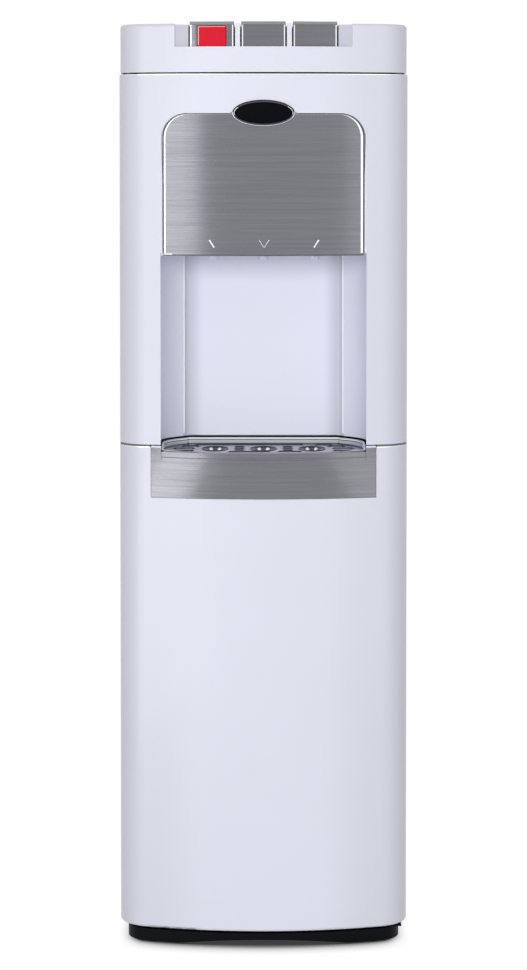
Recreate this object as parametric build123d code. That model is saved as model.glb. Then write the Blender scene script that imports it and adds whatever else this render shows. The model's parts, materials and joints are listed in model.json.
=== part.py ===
from build123d import *
import math
import os

# Bottom load water cooler. Millimetres, +Z up. The model is drawn with y = 0 at the middle of
# the door's front and y growing to the rear, then moved so that the origin is under the middle
# of the whole object, on the floor.

# ---------------------------------------------------------------- driving dimensions
WIDTH = 320.0             # outer width of the cabinet
DEPTH = 338.0             # door front to rear panel
FRONT_RADIUS = 440.0      # plan radius of the bowed front
CORNER_RADIUS = 40.0      # plan radius of the front corners
FRONT_DEPTH = 60.0        # how far the door and the fascia wrap round the sides
PLASTIC = 3.0             # wall of the large mouldings
LINER_WALL = 2.0          # wall of the liners
SHEET = 1.0               # painted steel sheet
FLANGE = 15.0             # folded flanges of the sheet panels
SEAM = 2.0                # open seam between the front mouldings and the side panels
CLEAR = 0.4               # clearance all round a piece that seats in another
RUNNING = 0.06            # radial clearance of a pin in its bore
HALF = WIDTH / 2
FLANGE_Y = FRONT_DEPTH + SEAM + 4          # front flange of the side panels
REAR_FLANGE_Y = DEPTH - 2 * SHEET          # rear flange, under the rear panel
DECK_REAR = DEPTH - 10

# base
FEET_HEIGHT = 1.5
BASE_HEIGHT = 13.5        # base under the door
PAD_HEIGHT = 4.0          # raised base under the cabinet
BASE_INSET = 8.5
PLATE = 4.0               # thick walls of the base and of the bottle platform
ARCH_HALF = HALF - 55     # arch in the base's front skirt
ARCH_RISE = 6.1
BASE_TOP = FEET_HEIGHT + BASE_HEIGHT
BASE_PAD_TOP = BASE_TOP + PAD_HEIGHT

# heights of the outer pieces
DOOR_HEIGHT = 535.4
DOOR_SEAM = 2.4
FASCIA_HEIGHT = 407.8
LID_SEAM = 1.8
LID_HEIGHT = 53.2
DOOR_BOTTOM = BASE_PAD_TOP
DOOR_TOP = DOOR_BOTTOM + DOOR_HEIGHT
FASCIA_BOTTOM = DOOR_TOP + DOOR_SEAM
FASCIA_TOP = FASCIA_BOTTOM + FASCIA_HEIGHT
LID_BOTTOM = FASCIA_TOP + LID_SEAM
LID_TOP = LID_BOTTOM + LID_HEIGHT
LID_INSET = 1.1
LID_EDGE = 4.0            # rounding of the lid's top edge
LID_WALL = 2.5
SIDE_TOP = FASCIA_TOP - 0.6                # top of the side panels, which carry the lid

# door hinge
HINGE_INSET = 11.0        # hinge axis from the cabinet's side
HINGE_Y = 46.0
HINGE_PIN_R = 3.0
HINGE_BUSH_R = 5.0
HINGE_BUSH_LENGTH = 13.0
BRACKET = 1.5             # hinge bracket plate
DOOR_SKIN_GAP = 11.0      # outer face of the door to the outside of its inner liner
MAGNET_LENGTH = 60.0
HINGE_X = HALF - HINGE_INSET

# keys
KEY_WIDTH = 48.6
KEY_PITCH = 56.6
KEY_GAP = 1.3
KEY_PROUD = 2.2           # key tops above the lid
KEY_HEIGHT = 31.3
KEY_INSET = 6.5           # key fronts behind the lid's plan outline
KEY_BACK = 88.0
KEY_WALL = 2.2
KEY_RIB = 19.6            # rib inside each key that meets its switch
KEY_DROP = 6.5            # room for the key fronts above the chassis floor
KEY_CHAMFER = 2.2
CHEEK_WIDTH = 15.1        # cheek of the chassis beside the outer keys
NOTCH_DEPTH = 25.3        # notch in the lid that holds the keys, below the lid's top
ROD_R = 2.0
ROD_DROP = 21.8           # rod's axis below the key tops
LOCK_WIDTH = 31.0
LOCK_HEIGHT = 22.4
LOCK_PROUD = 1.5
KEY_TOP = LID_TOP + KEY_PROUD
KEY_BOTTOM = KEY_TOP - KEY_HEIGHT
NOTCH_HALF = KEY_PITCH + KEY_WIDTH / 2 + KEY_GAP + CHEEK_WIDTH
NOTCH_BOTTOM = LID_TOP - NOTCH_DEPTH
NOTCH_BACK = KEY_BACK + 4
ROD_Y = KEY_BACK - 7
ROD_Z = KEY_TOP - ROD_DROP
LOCK_X = -KEY_PITCH

# spout panel and niche
COLUMN_WIDTH = 46.8       # fascia beside the opening
OPEN_DROP = 42.0          # top of the opening below the fascia's top
OPEN_CORNER = 28.0
PANEL_HEIGHT = 157.0      # top of the opening to the foot of the spout panel
TRIM_WIDTH = 2.2
TRIM_GAP = 0.5
PANEL_SINK = 1.0          # spout panel behind the fascia's face
SPOUT_PITCH = 55.7
SPOUT_BEHIND = 16.6       # spouts behind the niche's mouth
SPOUT_R = 6.4
SPOUT_BORE = 3.5
SPOUT_REACH = 5.0         # spout tips below the panel
NICHE_STRAIGHT = 52.0     # depth where the cheeks start to curve in
NICHE_BEND = 68.0         # radius of that curve
NICHE_TURN_IN = 24.4      # how far the cheeks come in by the rear
NICHE_DEPTH = 112.0
NICHE_CORNER = 7.0        # curve behind each cheek
CORNER_BOW = 0.37         # share of the curve's size left at its middle
OPEN_HALF = HALF - COLUMN_WIDTH
OPEN_TOP = FASCIA_TOP - OPEN_DROP
PANEL_BOTTOM = OPEN_TOP - PANEL_HEIGHT
CEILING_BOTTOM = PANEL_BOTTOM + 2.4
CEILING_TOP = CEILING_BOTTOM + LINER_WALL
SPOUT_TIP = PANEL_BOTTOM - SPOUT_REACH
NICHE_HALF = OPEN_HALF + 2.2
NICHE_BACK_HALF = NICHE_HALF - NICHE_TURN_IN
NICHE_MOUTH = FRONT_RADIUS - math.sqrt(FRONT_RADIUS ** 2 - NICHE_HALF ** 2)
SPOUT_Y = NICHE_MOUTH + SPOUT_BEHIND

BADGE_RX = 34.0
BADGE_RZ = 14.3
BADGE_RIM = 2.4
BADGE_PROUD = 1.6
BADGE_Z = OPEN_TOP - 0.9

# drip tray, carried by the door
HOLDER_MARGIN = 36.0      # door beside the tray holder
HOLDER_DROP = 5.0         # tray top below the door top
HOLDER_HEIGHT = 50.7
HOLDER_PROUD = 10.0       # how far its top edge stands in front of the door
HOLDER_LOW_PROUD = 1.5
TUB_DEPTH = 42.4
RIM_CLEAR = 3.0           # rim of the basin inside the niche's walls
RIM_HEIGHT = 6.0          # rim of the basin, above the tub it rests on
RIM_START = 12.0          # where the basin's rim starts to rise towards its rear
RIM_SLOPE = 26.0          # depth over which it rises
LIP_HEIGHT = 8.7
BASIN_WALL = 2.0
BASIN_DEPTH = 28.0
GRILLE_SINK = 2.0
GRILLE_THICK = 3.0
SLOT_WIDTH = 4.0
CUP_R = 15.5
CUP_Y = 30.0
HOLDER_HALF = HALF - HOLDER_MARGIN
HOLDER_TOP = DOOR_TOP - HOLDER_DROP
HOLDER_BOTTOM = HOLDER_TOP - HOLDER_HEIGHT
WING_TOP = DOOR_TOP - 1
TUB_BOTTOM = HOLDER_TOP - TUB_DEPTH
NICHE_BOTTOM = FASCIA_BOTTOM + 0.8
RIM_TOP = FASCIA_BOTTOM - 1.0              # raised rear and sides of the basin's rim
RIM_HALF = NICHE_HALF - RIM_CLEAR
RIM_DEPTH = NICHE_DEPTH - RIM_CLEAR
RIM_CORNER = NICHE_CORNER + RIM_CLEAR / 2

# cabinet, inside
LINER_SIDE_GAP = 16.0     # outside of the compartment liner to the cabinet's side
COMPRESSOR_SPACE = 173.0  # mid deck to tank shelf
SCREW_ROWS = 7
LOUVRE_ROWS = 6
LOUVRE_PITCH = 16.0
LOUVRE_HALF = 28.0
SCREW_R = 1.7
SCREW_HEAD_R = 4.0
SCREW_HEAD = 2.2
LINER_HALF = HALF - LINER_SIDE_GAP
LINER_REAR = DEPTH - 8
LINER_FRONT = FLANGE_Y + SHEET
LINER_TOP = DOOR_TOP + 2.6
SHELF_Z = LINER_TOP + COMPRESSOR_SPACE
SHELF_TOP = SHELF_Z + 1.5
LOUVRE_Z = SHELF_Z + 42

# bottle, probe and pump
BOTTLE_Y = 165.0
PLATFORM_RIM = 10.0
PLATFORM_INSET = 20.0
PLATFORM_HALF = LINER_HALF - 7
PLATFORM_NECK = HINGE_X - 23               # narrower where the door's edge swings past
TUBE_R = 6.0
CAP_NECK_R = 29.0
HOSE_R = 5.0
PROBE = (-(LINER_HALF - 38), LINER_REAR - 36)
PUMP_Z = LINER_TOP - 23
RISER = (LINER_HALF - 32, LINER_REAR - 32)

# tanks and cooling
COMPRESSOR_R = 60.0
COMPRESSOR_HEIGHT = 127.0
CORE_WALL = 17.0          # shell and motor round the compressor's hollow core
GROMMET_R = 11.0
GROMMET_HEIGHT = 14.0
COLD_R = 60.0
JACKET_WALL = 12.0
COLD_JACKET_R = 80.0
HOT_R = 44.0
HOT_JACKET_R = 55.0
TANK_HEIGHT = 170.0
COIL_R = 3.4
COIL_TURNS = 6
COIL_PITCH = 18.0
SIDE_SPACE = 10.0         # tank jackets to the cabinet's side
COMPRESSOR = (-20.0, DEPTH - 130)
COMPRESSOR_TOP = LINER_TOP + 2 + GROMMET_HEIGHT + COMPRESSOR_HEIGHT
COLD = (SIDE_SPACE + COLD_JACKET_R - HALF, DEPTH - 123)
HOT = (HALF - SIDE_SPACE - HOT_JACKET_R, DEPTH - 123)
TANK_TOP = SHELF_Z + TANK_HEIGHT
DRAIN_Z = SHELF_Z - 18

CONDENSER_GAP = 8.0       # axis of the condenser's tube behind the rear panel
CONDENSER_TUBE_R = 2.5
CONDENSER_PITCH = 38.0
CONDENSER_PASSES = 12
WIRE_R = 0.8
WIRE_COUNT = 15
WIRE_MARGIN = 6.0         # outer wires inside the bends of the tube
CONDENSER_Y = DEPTH + CONDENSER_GAP
CONDENSER_HALF = HALF - 42
WIRE_PITCH = 2 * (CONDENSER_HALF - WIRE_MARGIN) / (WIRE_COUNT - 1)
CONDENSER_TOP = LINER_TOP + 49

CAP_R = 11.0
CAP_END = 4.0             # closed end of a drain cap beyond its spigot
SPIGOT_R = 7.0
SPIGOT_LENGTH = 14.0
SPIGOT_REACH = DEPTH + SPIGOT_LENGTH
CAP_REACH = SPIGOT_REACH + CAP_END         # the object's rearmost point

# electrics
SWITCH_PITCH = 20.0
ROCKER_HALF_X = 6.5
ROCKER_HALF_Z = 9.0
BOX_HEIGHT = 140.0
SWITCH_X = HALF - 60
SWITCH_Z = FASCIA_TOP - 59.6
INLET_X = 42 - HALF
INLET_Z = SHELF_Z - 58

KEY_XS = {"hot": -KEY_PITCH, "room": 0.0, "cold": KEY_PITCH}
SPOUT_XS = {"hot": -SPOUT_PITCH, "room": 0.0, "cold": SPOUT_PITCH}
MID_Y = (CAP_REACH - HOLDER_PROUD) / 2


# ---------------------------------------------------------------- helpers
def block(x0, x1, y0, y1, z0, z1):
    """A box given by its low and high sides."""
    middle = Pos((x0 + x1) / 2, (y0 + y1) / 2, (z0 + z1) / 2)
    return middle * Box(x1 - x0, y1 - y0, z1 - z0)


def rod_x(x0, x1, y, z, radius):
    """A round bar along X."""
    return Pos((x0 + x1) / 2, y, z) * Rot(0, 90, 0) * Cylinder(radius, x1 - x0)


def rod_y(y0, y1, x, z, radius):
    """A round bar along Y."""
    return Pos(x, (y0 + y1) / 2, z) * Rot(90, 0, 0) * Cylinder(radius, y1 - y0)


def rod_z(z0, z1, x, y, radius):
    """A round bar along Z."""
    return Pos(x, y, (z0 + z1) / 2) * Cylinder(radius, z1 - z0)


def pipe(points, radii, radius):
    """A round tube's outside along straight runs joined by tangent arcs."""
    path = FilletPolyline(*points, radius=radii) if radii else Line(*points)
    start = Plane(origin=path @ 0, z_dir=path % 0)
    return sweep(start * Circle(radius), path=path)


def join(pieces):
    """Fuse a list of overlapping solids."""
    first, *rest = pieces
    for piece in rest:
        first = first + piece
    return first


def plan(inset, back):
    """Plan outline of the cabinet drawn in by inset, cut off at depth back."""
    half = HALF - inset
    ahead = CORNER_RADIUS
    outline = Pos(0, (DEPTH - ahead) / 2) * Rectangle(2 * half, DEPTH + ahead)
    outline = outline & Pos(0, FRONT_RADIUS) * Circle(FRONT_RADIUS - inset)
    corners = outline.vertices().sort_by(Axis.Y)[:2]
    outline = fillet(corners, CORNER_RADIUS - inset)
    return outline & Pos(0, (back - ahead) / 2) * Rectangle(2 * WIDTH, back + ahead)


def column(inset, back, z0, z1):
    """The plan outline raised from z0 to z1."""
    return Pos(0, 0, z0) * extrude(plan(inset, back), z1 - z0)


def skin(outer, inner, back, z0, z1):
    """A wall that follows the plan outline between two insets, open at the rear."""
    return column(outer, back, z0, z1) - column(inner, back + 1, z0 - 1, z1 + 1)


def front_y(x, inset=0.0):
    """Depth of the bowed front at x, drawn in by inset."""
    return FRONT_RADIUS - math.sqrt((FRONT_RADIUS - inset) ** 2 - x ** 2)


def arch_prism(half, top, corner, bottom, y0, y1):
    """A prism along Y of an upright shape with a flat foot and two rounded top corners."""
    face = Pos(0, (top + bottom) / 2) * Rectangle(2 * half, top - bottom)
    face = fillet(face.vertices().group_by(Axis.Y)[-1], corner)
    return extrude(Plane.XZ.offset(-y1) * face, y1 - y0)


def side_pair(piece):
    """A piece and its mirror image across the middle plane."""
    return piece + mirror(piece, Plane.YZ)


# ---------------------------------------------------------------- base
def make_base():
    rear = DEPTH - 2 * PLATE
    base = column(BASE_INSET, rear, FEET_HEIGHT, BASE_TOP)
    base -= column(BASE_INSET + PLATE, rear - PLATE, 0, BASE_TOP - PLATE)
    pad_half = HALF - BASE_INSET
    base += block(-pad_half, pad_half, FRONT_DEPTH + PLATE, rear, BASE_TOP, BASE_PAD_TOP)
    for x in (-HALF / 2, 0.0, HALF / 2):
        base += block(x - 1, x + 1, 2 * BASE_INSET, rear - 2, FEET_HEIGHT + 2, BASE_TOP - 2)
    arch = make_face(Curve() + [
        ThreePointArc((-ARCH_HALF, 0), (0, FEET_HEIGHT + ARCH_RISE), (ARCH_HALF, 0)),
        Line((ARCH_HALF, 0), (-ARCH_HALF, 0)),
    ])
    base -= extrude(Plane.XZ.offset(-40) * arch, 60)
    for x, y in feet_spots():
        base += rod_z(FEET_HEIGHT, BASE_TOP - 1, x, y, 12)
    return base


def feet_spots():
    """Places of the base's four feet."""
    front = [(side * (HALF - 40), 42) for side in (-1, 1)]
    return front + [(side * (HALF - 35), DEPTH - 33) for side in (-1, 1)]


def make_feet():
    """Four round rubber pads with a bevelled rim."""
    pads = []
    for x, y in feet_spots():
        pad = rod_z(0, FEET_HEIGHT, x, y, 13)
        pads.append(chamfer(pad.edges().group_by(Axis.Z)[0], 0.8))
    return pads


# ---------------------------------------------------------------- door
def make_door_shell():
    door = column(0, FRONT_DEPTH, DOOR_BOTTOM, DOOR_TOP)
    low = door.edges().group_by(Axis.Z)[0].sort_by(Axis.Y)[:-1]
    door = fillet(low, PLASTIC)
    door -= column(PLASTIC, FRONT_DEPTH + 1, DOOR_BOTTOM + PLASTIC, DOOR_TOP - PLASTIC)
    half = HOLDER_HALF + CLEAR
    door -= block(-half, half, -1, FRONT_DEPTH + 1, HOLDER_BOTTOM - CLEAR, DOOR_TOP + 1)
    hollow = column(DOOR_SKIN_GAP + LINER_WALL, FRONT_DEPTH + 1, DOOR_BOTTOM - 1, DOOR_TOP + 1)
    post = HINGE_X - HINGE_BUSH_R - PLASTIC
    door -= hollow & block(-post, post, 0, FRONT_DEPTH + 1, 0, LID_TOP)
    for low_end in (DOOR_BOTTOM, DOOR_TOP - PLASTIC):
        door -= rod_z(low_end - 1, low_end + PLASTIC + 1, HINGE_X, HINGE_Y, HINGE_BUSH_R)
    return door


def make_door_liner():
    """Inner skin of the door: a bowed pan with closed top, bottom and rear edges."""
    z0 = DOOR_BOTTOM + PLASTIC
    z1 = HOLDER_BOTTOM - 3
    edge = PLASTIC + 0.2
    inner = DOOR_SKIN_GAP + LINER_WALL
    liner = skin(edge, inner, FRONT_DEPTH, z0, z1)
    hollow = column(edge - 1, FRONT_DEPTH - LINER_WALL, z0 + LINER_WALL, z1 - LINER_WALL)
    hollow -= column(DOOR_SKIN_GAP, FRONT_DEPTH, z0, z1)
    liner -= hollow
    liner -= rod_z(z0 - 1, z0 + 16, HINGE_X, HINGE_Y, HINGE_BUSH_R + 2)
    liner -= magnet_block(0.1)
    return liner


def magnet_block(grow):
    """The magnet strip in the door's free edge, grown by a clearance."""
    x0 = PLASTIC + 1 - HALF
    y0 = FRONT_DEPTH - PLASTIC
    middle = DOOR_BOTTOM + DOOR_HEIGHT / 2
    reach = MAGNET_LENGTH / 2 + grow
    return block(x0 - grow, x0 + 7 + grow, y0 - grow, FRONT_DEPTH + 0.4, middle - reach, middle + reach)


def make_catch_plate():
    """Steel plate on the side panel's flange that the magnet pulls against."""
    x0 = PLASTIC + 1 - HALF
    middle = DOOR_BOTTOM + DOOR_HEIGHT / 2
    reach = MAGNET_LENGTH / 2 - 5
    return block(x0, x0 + 10, FRONT_DEPTH + SEAM - 0.4, FLANGE_Y, middle - reach, middle + reach)


def make_hinge_plates():
    """Two plates with the pins riveted in, on the base and on the side panel's flange."""
    low = block(HINGE_X - 11, HINGE_X + 5, HINGE_Y - 8, FRONT_DEPTH, BASE_TOP, BASE_TOP + BRACKET)
    low += rod_z(BASE_TOP, BASE_TOP + 15, HINGE_X, HINGE_Y, HINGE_PIN_R)
    low += rod_z(BASE_TOP, DOOR_BOTTOM - 0.3, HINGE_X, HINGE_Y, HINGE_BUSH_R)
    high_z = FASCIA_BOTTOM + 0.4
    high = block(HINGE_X - 8, HINGE_X + 4, HINGE_Y - 5, FLANGE_Y, high_z, high_z + BRACKET)
    high += block(HINGE_X - 8, HINGE_X + 4, FLANGE_Y - BRACKET, FLANGE_Y, high_z, high_z + 20)
    high += rod_z(DOOR_TOP - 11, high_z + BRACKET, HINGE_X, HINGE_Y, HINGE_PIN_R)
    high += rod_z(high_z, high_z + BRACKET + 2, HINGE_X, HINGE_Y, HINGE_BUSH_R)
    return [low, high]


def make_hinge_bushes():
    bore = rod_z(0, FASCIA_TOP, HINGE_X, HINGE_Y, HINGE_PIN_R + RUNNING)
    spans = (
        (DOOR_BOTTOM, DOOR_BOTTOM + HINGE_BUSH_LENGTH),
        (DOOR_TOP - HINGE_BUSH_LENGTH, DOOR_TOP),
    )
    return [rod_z(low, high, HINGE_X, HINGE_Y, HINGE_BUSH_R) - bore for low, high in spans]


# ---------------------------------------------------------------- drip tray
def rim_outline(offset):
    """Plan outline of the drip tray: the niche's plan less a clearance, drawn in by offset."""
    half = RIM_HALF - offset
    inside = Pos(0, (RIM_DEPTH - offset) / 2) * Rectangle(2 * half, RIM_DEPTH - offset)
    return niche_plan(-RIM_CLEAR - offset, RIM_CORNER) & inside


def tray_section(z, proud):
    """Plan of the tray's bowed front at height z."""
    rear = FRONT_DEPTH - PLASTIC
    end_y = front_y(HOLDER_HALF)
    arc = ThreePointArc((-HOLDER_HALF, end_y), (0, -proud), (HOLDER_HALF, end_y))
    sides = Polyline((HOLDER_HALF, end_y), (HOLDER_HALF, rear), (-HOLDER_HALF, rear), (-HOLDER_HALF, end_y))
    return Pos(0, 0, z) * make_face(Curve() + [arc, sides])


def tray_front():
    """Solid of the bowed front of the tray: its top edge stands further out than its foot."""
    return loft([tray_section(HOLDER_BOTTOM, HOLDER_LOW_PROUD), tray_section(HOLDER_TOP, HOLDER_PROUD)])


def tray_wings(inner_half):
    """Upper corners of the tray's front, beside the basin's lip."""
    corners = extrude(tray_section(HOLDER_TOP - 1, HOLDER_PROUD), WING_TOP - HOLDER_TOP + 1)
    inside = block(-inner_half, inner_half, -HOLDER_PROUD - 1, DEPTH, HOLDER_TOP - 2, WING_TOP + 1)
    return corners - inside


def rim_column(offset, z0, z1):
    """The tray's whole plan: the bowed front and the rear outline, drawn in by offset."""
    outline = rim_outline(offset)
    front = Pos(0, FRONT_RADIUS) * Circle(FRONT_RADIUS - PLASTIC - offset)
    return Pos(0, 0, z0) * extrude(outline & front, z1 - z0)


def make_tray_holder():
    """Silver front and the tub behind it that takes the drip basin."""
    lip_z = HOLDER_TOP - LIP_HEIGHT - CLEAR
    lip_half = RIM_HALF + CLEAR
    front = tray_front() + tray_wings(lip_half)
    front -= block(-lip_half, lip_half, -20, FRONT_DEPTH, lip_z, HOLDER_TOP + 1)
    front -= rim_column(3 * CLEAR, TUB_BOTTOM + PLASTIC, HOLDER_TOP + 1)
    tub = rim_column(0, TUB_BOTTOM, HOLDER_TOP - RIM_HEIGHT)
    tub -= rim_column(LINER_WALL, TUB_BOTTOM + LINER_WALL, HOLDER_TOP + 1)
    holder = front + tub
    holder -= rim_column(LINER_WALL, TUB_BOTTOM + LINER_WALL, HOLDER_TOP + 1)
    return holder


def make_drip_basin():
    """Removable basin with a rim that rests on the tub and a lip that covers its front."""
    wall = LINER_WALL + CLEAR
    rim_z = HOLDER_TOP - RIM_HEIGHT
    floor_z = HOLDER_TOP - BASIN_DEPTH
    bowl = rim_column(wall, floor_z, HOLDER_TOP)
    rim = rim_column(0, rim_z, HOLDER_TOP)
    lip = tray_front()
    lip_z = HOLDER_TOP - LIP_HEIGHT
    lip &= block(-RIM_HALF, RIM_HALF, -20, FRONT_DEPTH, lip_z, HOLDER_TOP)
    lip -= column(-0.6, FRONT_DEPTH, lip_z - 1, rim_z)
    basin = bowl + rim + lip
    basin -= rim_column(wall + BASIN_WALL, floor_z + BASIN_WALL, HOLDER_TOP + 1)
    seat = rim_column(BASIN_WALL, HOLDER_TOP - GRILLE_SINK - GRILLE_THICK, HOLDER_TOP + 1)
    return basin - seat + raised_rim()


def raised_rim():
    """Thin wall that rises round the sides and the rear of the basin's rim."""
    low = HOLDER_TOP - GRILLE_SINK
    wall = rim_column(0, low, RIM_TOP) - rim_column(BASIN_WALL, low - 1, RIM_TOP + 1)
    full = RIM_START + RIM_SLOPE
    profile = Plane.YZ * make_face(Polyline(
        (RIM_START, low), (RIM_START, HOLDER_TOP), (full, RIM_TOP), (DEPTH, RIM_TOP), (DEPTH, low),
        close=True))
    return wall & extrude(profile, HALF, both=True)


def grille_slots():
    """Cutters of the grille: short slots round the cup spots and one long slot in front."""
    places = [(side * (RIM_HALF - 19.6), y, 22.0) for side in (-1, 1) for y in (22.0, 36.0, 50.0, 64.0)]
    places += [(side * SPOUT_PITCH / 2, y, 13.0) for side in (-1, 1) for y in (28.0, 42.0, 56.0)]
    places += [(x, y, 24.0) for x in (-70.0, -35.0, 0.0, 35.0, 70.0) for y in (76.0, 88.0)]
    places += [(0.0, 10.0, 70.0)]
    top = HOLDER_TOP - GRILLE_SINK
    low = top - 2 * GRILLE_THICK
    return [Pos(x, y, low) * extrude(SlotOverall(length, SLOT_WIDTH), 3 * GRILLE_THICK)
            for x, y, length in places]


def make_drip_grille():
    """Lift-out grille with three raised rings where the cups stand."""
    top = HOLDER_TOP - GRILLE_SINK
    grille = rim_column(BASIN_WALL + CLEAR, top - GRILLE_THICK, top)
    for cutter in grille_slots():
        grille -= cutter
    for x in SPOUT_XS.values():
        ring = rod_z(top - 1, top + 1.2, x, CUP_Y, CUP_R) - rod_z(0, top + 2, x, CUP_Y, CUP_R - 2)
        grille += ring
        grille -= rod_z(0, top + 2, x, CUP_Y, 3.0)
        for turn in range(6):
            angle = math.radians(60 * turn)
            reach = CUP_R - 5.5
            grille -= rod_z(0, top + 2, x + reach * math.cos(angle), CUP_Y + reach * math.sin(angle), 1.8)
    return grille


# ---------------------------------------------------------------- upper front
def make_fascia():
    fascia = skin(0, PLASTIC, FRONT_DEPTH, FASCIA_BOTTOM, FASCIA_TOP)
    cheek = NICHE_HALF + LINER_WALL + CLEAR
    for z in (FASCIA_BOTTOM + 83, FASCIA_BOTTOM + 183):
        rib = skin(PLASTIC - 1, 12, FRONT_DEPTH, z, z + 2)
        fascia += rib - block(-cheek, cheek, -1, FRONT_DEPTH, z - 1, z + 3)
    fascia += skin(PLASTIC - 1, 12, FRONT_DEPTH, FASCIA_TOP - 24, FASCIA_TOP - 22)
    opening = arch_prism(OPEN_HALF, OPEN_TOP, OPEN_CORNER, FASCIA_BOTTOM - 2, -1, FRONT_DEPTH)
    fascia -= opening
    inner = HALF - PLASTIC
    for z in (FASCIA_BOTTOM + 43, FASCIA_BOTTOM + 223, FASCIA_TOP - 35):
        fascia += side_pair(block(inner - 8, inner + 1, FRONT_DEPTH - 12, FLANGE_Y, z, z + 16))
    return fascia - badge_plug(0, 0.2, -BADGE_PROUD - 1, PLASTIC + 1)


def badge_plug(shrink, grow, near, far):
    """Upright ellipse through the front between two insets."""
    face = Pos(0, BADGE_Z) * Ellipse(BADGE_RX - shrink + grow, BADGE_RZ - shrink + grow)
    plug = extrude(Plane.XZ.offset(-30) * face, 60)
    return plug & skin(near, far, FRONT_DEPTH, BADGE_Z - 40, BADGE_Z + 40)


def make_badge_rim():
    return badge_plug(0, 0, -BADGE_PROUD, PLASTIC) - badge_plug(BADGE_RIM, 0, -9, PLASTIC - 1)


def make_badge_face():
    return badge_plug(BADGE_RIM + 0.1, 0, -BADGE_PROUD + 0.7, PLASTIC - 1)


def make_panel_trim():
    """Bright frame round the sides and top of the spout panel."""
    half = OPEN_HALF - TRIM_GAP
    outer = arch_prism(half, OPEN_TOP - TRIM_GAP, OPEN_CORNER - TRIM_GAP, PANEL_BOTTOM, -1, 40)
    inner_corner = OPEN_CORNER - TRIM_GAP - TRIM_WIDTH
    inner = arch_prism(half - TRIM_WIDTH, OPEN_TOP - TRIM_GAP - TRIM_WIDTH, inner_corner,
                       PANEL_BOTTOM - 1, -2, 41)
    trim = (outer - inner) & skin(0.3, PLASTIC + 2, FRONT_DEPTH, PANEL_BOTTOM - 1, FASCIA_TOP)
    return trim - badge_plug(0, 0.2, -9, PLASTIC + 0.2)


def make_spout_panel():
    """Brushed panel, bowed like the front, folded back under its lower edge."""
    half = OPEN_HALF - TRIM_GAP - TRIM_WIDTH
    corner = OPEN_CORNER - TRIM_GAP - TRIM_WIDTH
    top = OPEN_TOP - TRIM_GAP - TRIM_WIDTH
    shape = arch_prism(half, top, corner, PANEL_BOTTOM, -2, 60)
    face = shape & skin(PANEL_SINK, PANEL_SINK + 2, FRONT_DEPTH, PANEL_BOTTOM - 1, FASCIA_TOP)
    fold = shape & skin(PANEL_SINK, 14, FRONT_DEPTH, PANEL_BOTTOM, PANEL_BOTTOM + 1.6)
    rib_z = PANEL_BOTTOM + 85
    rib = shape & skin(PANEL_SINK, 10, FRONT_DEPTH, rib_z, rib_z + 2)
    return face + fold + rib - badge_plug(0, 0.2, -9, PLASTIC + 1)


def niche_plan(offset, corner):
    """Plan of the niche: straight mouth, cheeks that curve in, curved corners and a flat back."""
    half = NICHE_HALF + offset
    bend = NICHE_BEND + offset
    centre_x = NICHE_HALF - NICHE_BEND
    back_half = NICHE_BACK_HALF + offset
    turn = math.acos((back_half - centre_x) / bend)
    step_y = NICHE_STRAIGHT + bend * math.sin(turn)
    mid = (centre_x + bend * math.cos(turn / 2), NICHE_STRAIGHT + bend * math.sin(turn / 2))
    bow = corner * CORNER_BOW
    pieces = [
        Line((-half, 0), (half, 0)),
        Line((half, 0), (half, NICHE_STRAIGHT)),
        ThreePointArc((half, NICHE_STRAIGHT), mid, (back_half, step_y)),
        Line((back_half, step_y), (back_half, NICHE_DEPTH - corner)),
        ThreePointArc((back_half, NICHE_DEPTH - corner), (back_half - bow, NICHE_DEPTH - bow),
                      (back_half - corner, NICHE_DEPTH)),
        Line((back_half - corner, NICHE_DEPTH), (corner - back_half, NICHE_DEPTH)),
        ThreePointArc((corner - back_half, NICHE_DEPTH), (bow - back_half, NICHE_DEPTH - bow),
                      (-back_half, NICHE_DEPTH - corner)),
        Line((-back_half, NICHE_DEPTH - corner), (-back_half, step_y)),
        ThreePointArc((-back_half, step_y), (-mid[0], mid[1]), (-half, NICHE_STRAIGHT)),
        Line((-half, NICHE_STRAIGHT), (-half, 0)),
    ]
    return make_face(Curve() + pieces)


def make_niche_liner():
    """Both cheeks and the ceiling of the niche, with a hole for each spout."""
    top = CEILING_TOP
    outer = Pos(0, 0, NICHE_BOTTOM) * extrude(niche_plan(LINER_WALL, LINER_WALL), top - NICHE_BOTTOM)
    hollow = extrude(niche_plan(0, NICHE_CORNER), CEILING_BOTTOM - NICHE_BOTTOM + 1)
    hollow = Pos(0, 0, NICHE_BOTTOM - 1) * hollow
    liner = outer - hollow
    liner &= column(PLASTIC + 0.3, DEPTH, NICHE_BOTTOM - 1, top + 1)
    liner -= block(-NICHE_HALF, NICHE_HALF, 0, front_y(NICHE_HALF) + 6, CEILING_BOTTOM - 1, top + 1)
    for x in SPOUT_XS.values():
        liner -= rod_z(CEILING_BOTTOM - 1, top + 1, x, SPOUT_Y, SPOUT_R + CLEAR)
    for x in lens_spots():
        liner -= lens_block(x, 0.1)
    return liner


def make_niche_back():
    """Back wall of the niche, flat against the rear of the cheeks."""
    top = CEILING_TOP
    back = block(-NICHE_BACK_HALF - 6, NICHE_BACK_HALF + 6, NICHE_DEPTH, NICHE_DEPTH + 2.5,
                 NICHE_BOTTOM, top)
    for x in (-2 * NICHE_BACK_HALF / 3, 0.0, 2 * NICHE_BACK_HALF / 3):
        back += block(x - 1, x + 1, NICHE_DEPTH + 2, NICHE_DEPTH + 5, NICHE_BOTTOM + 40, top - 10)
    return back


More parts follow.
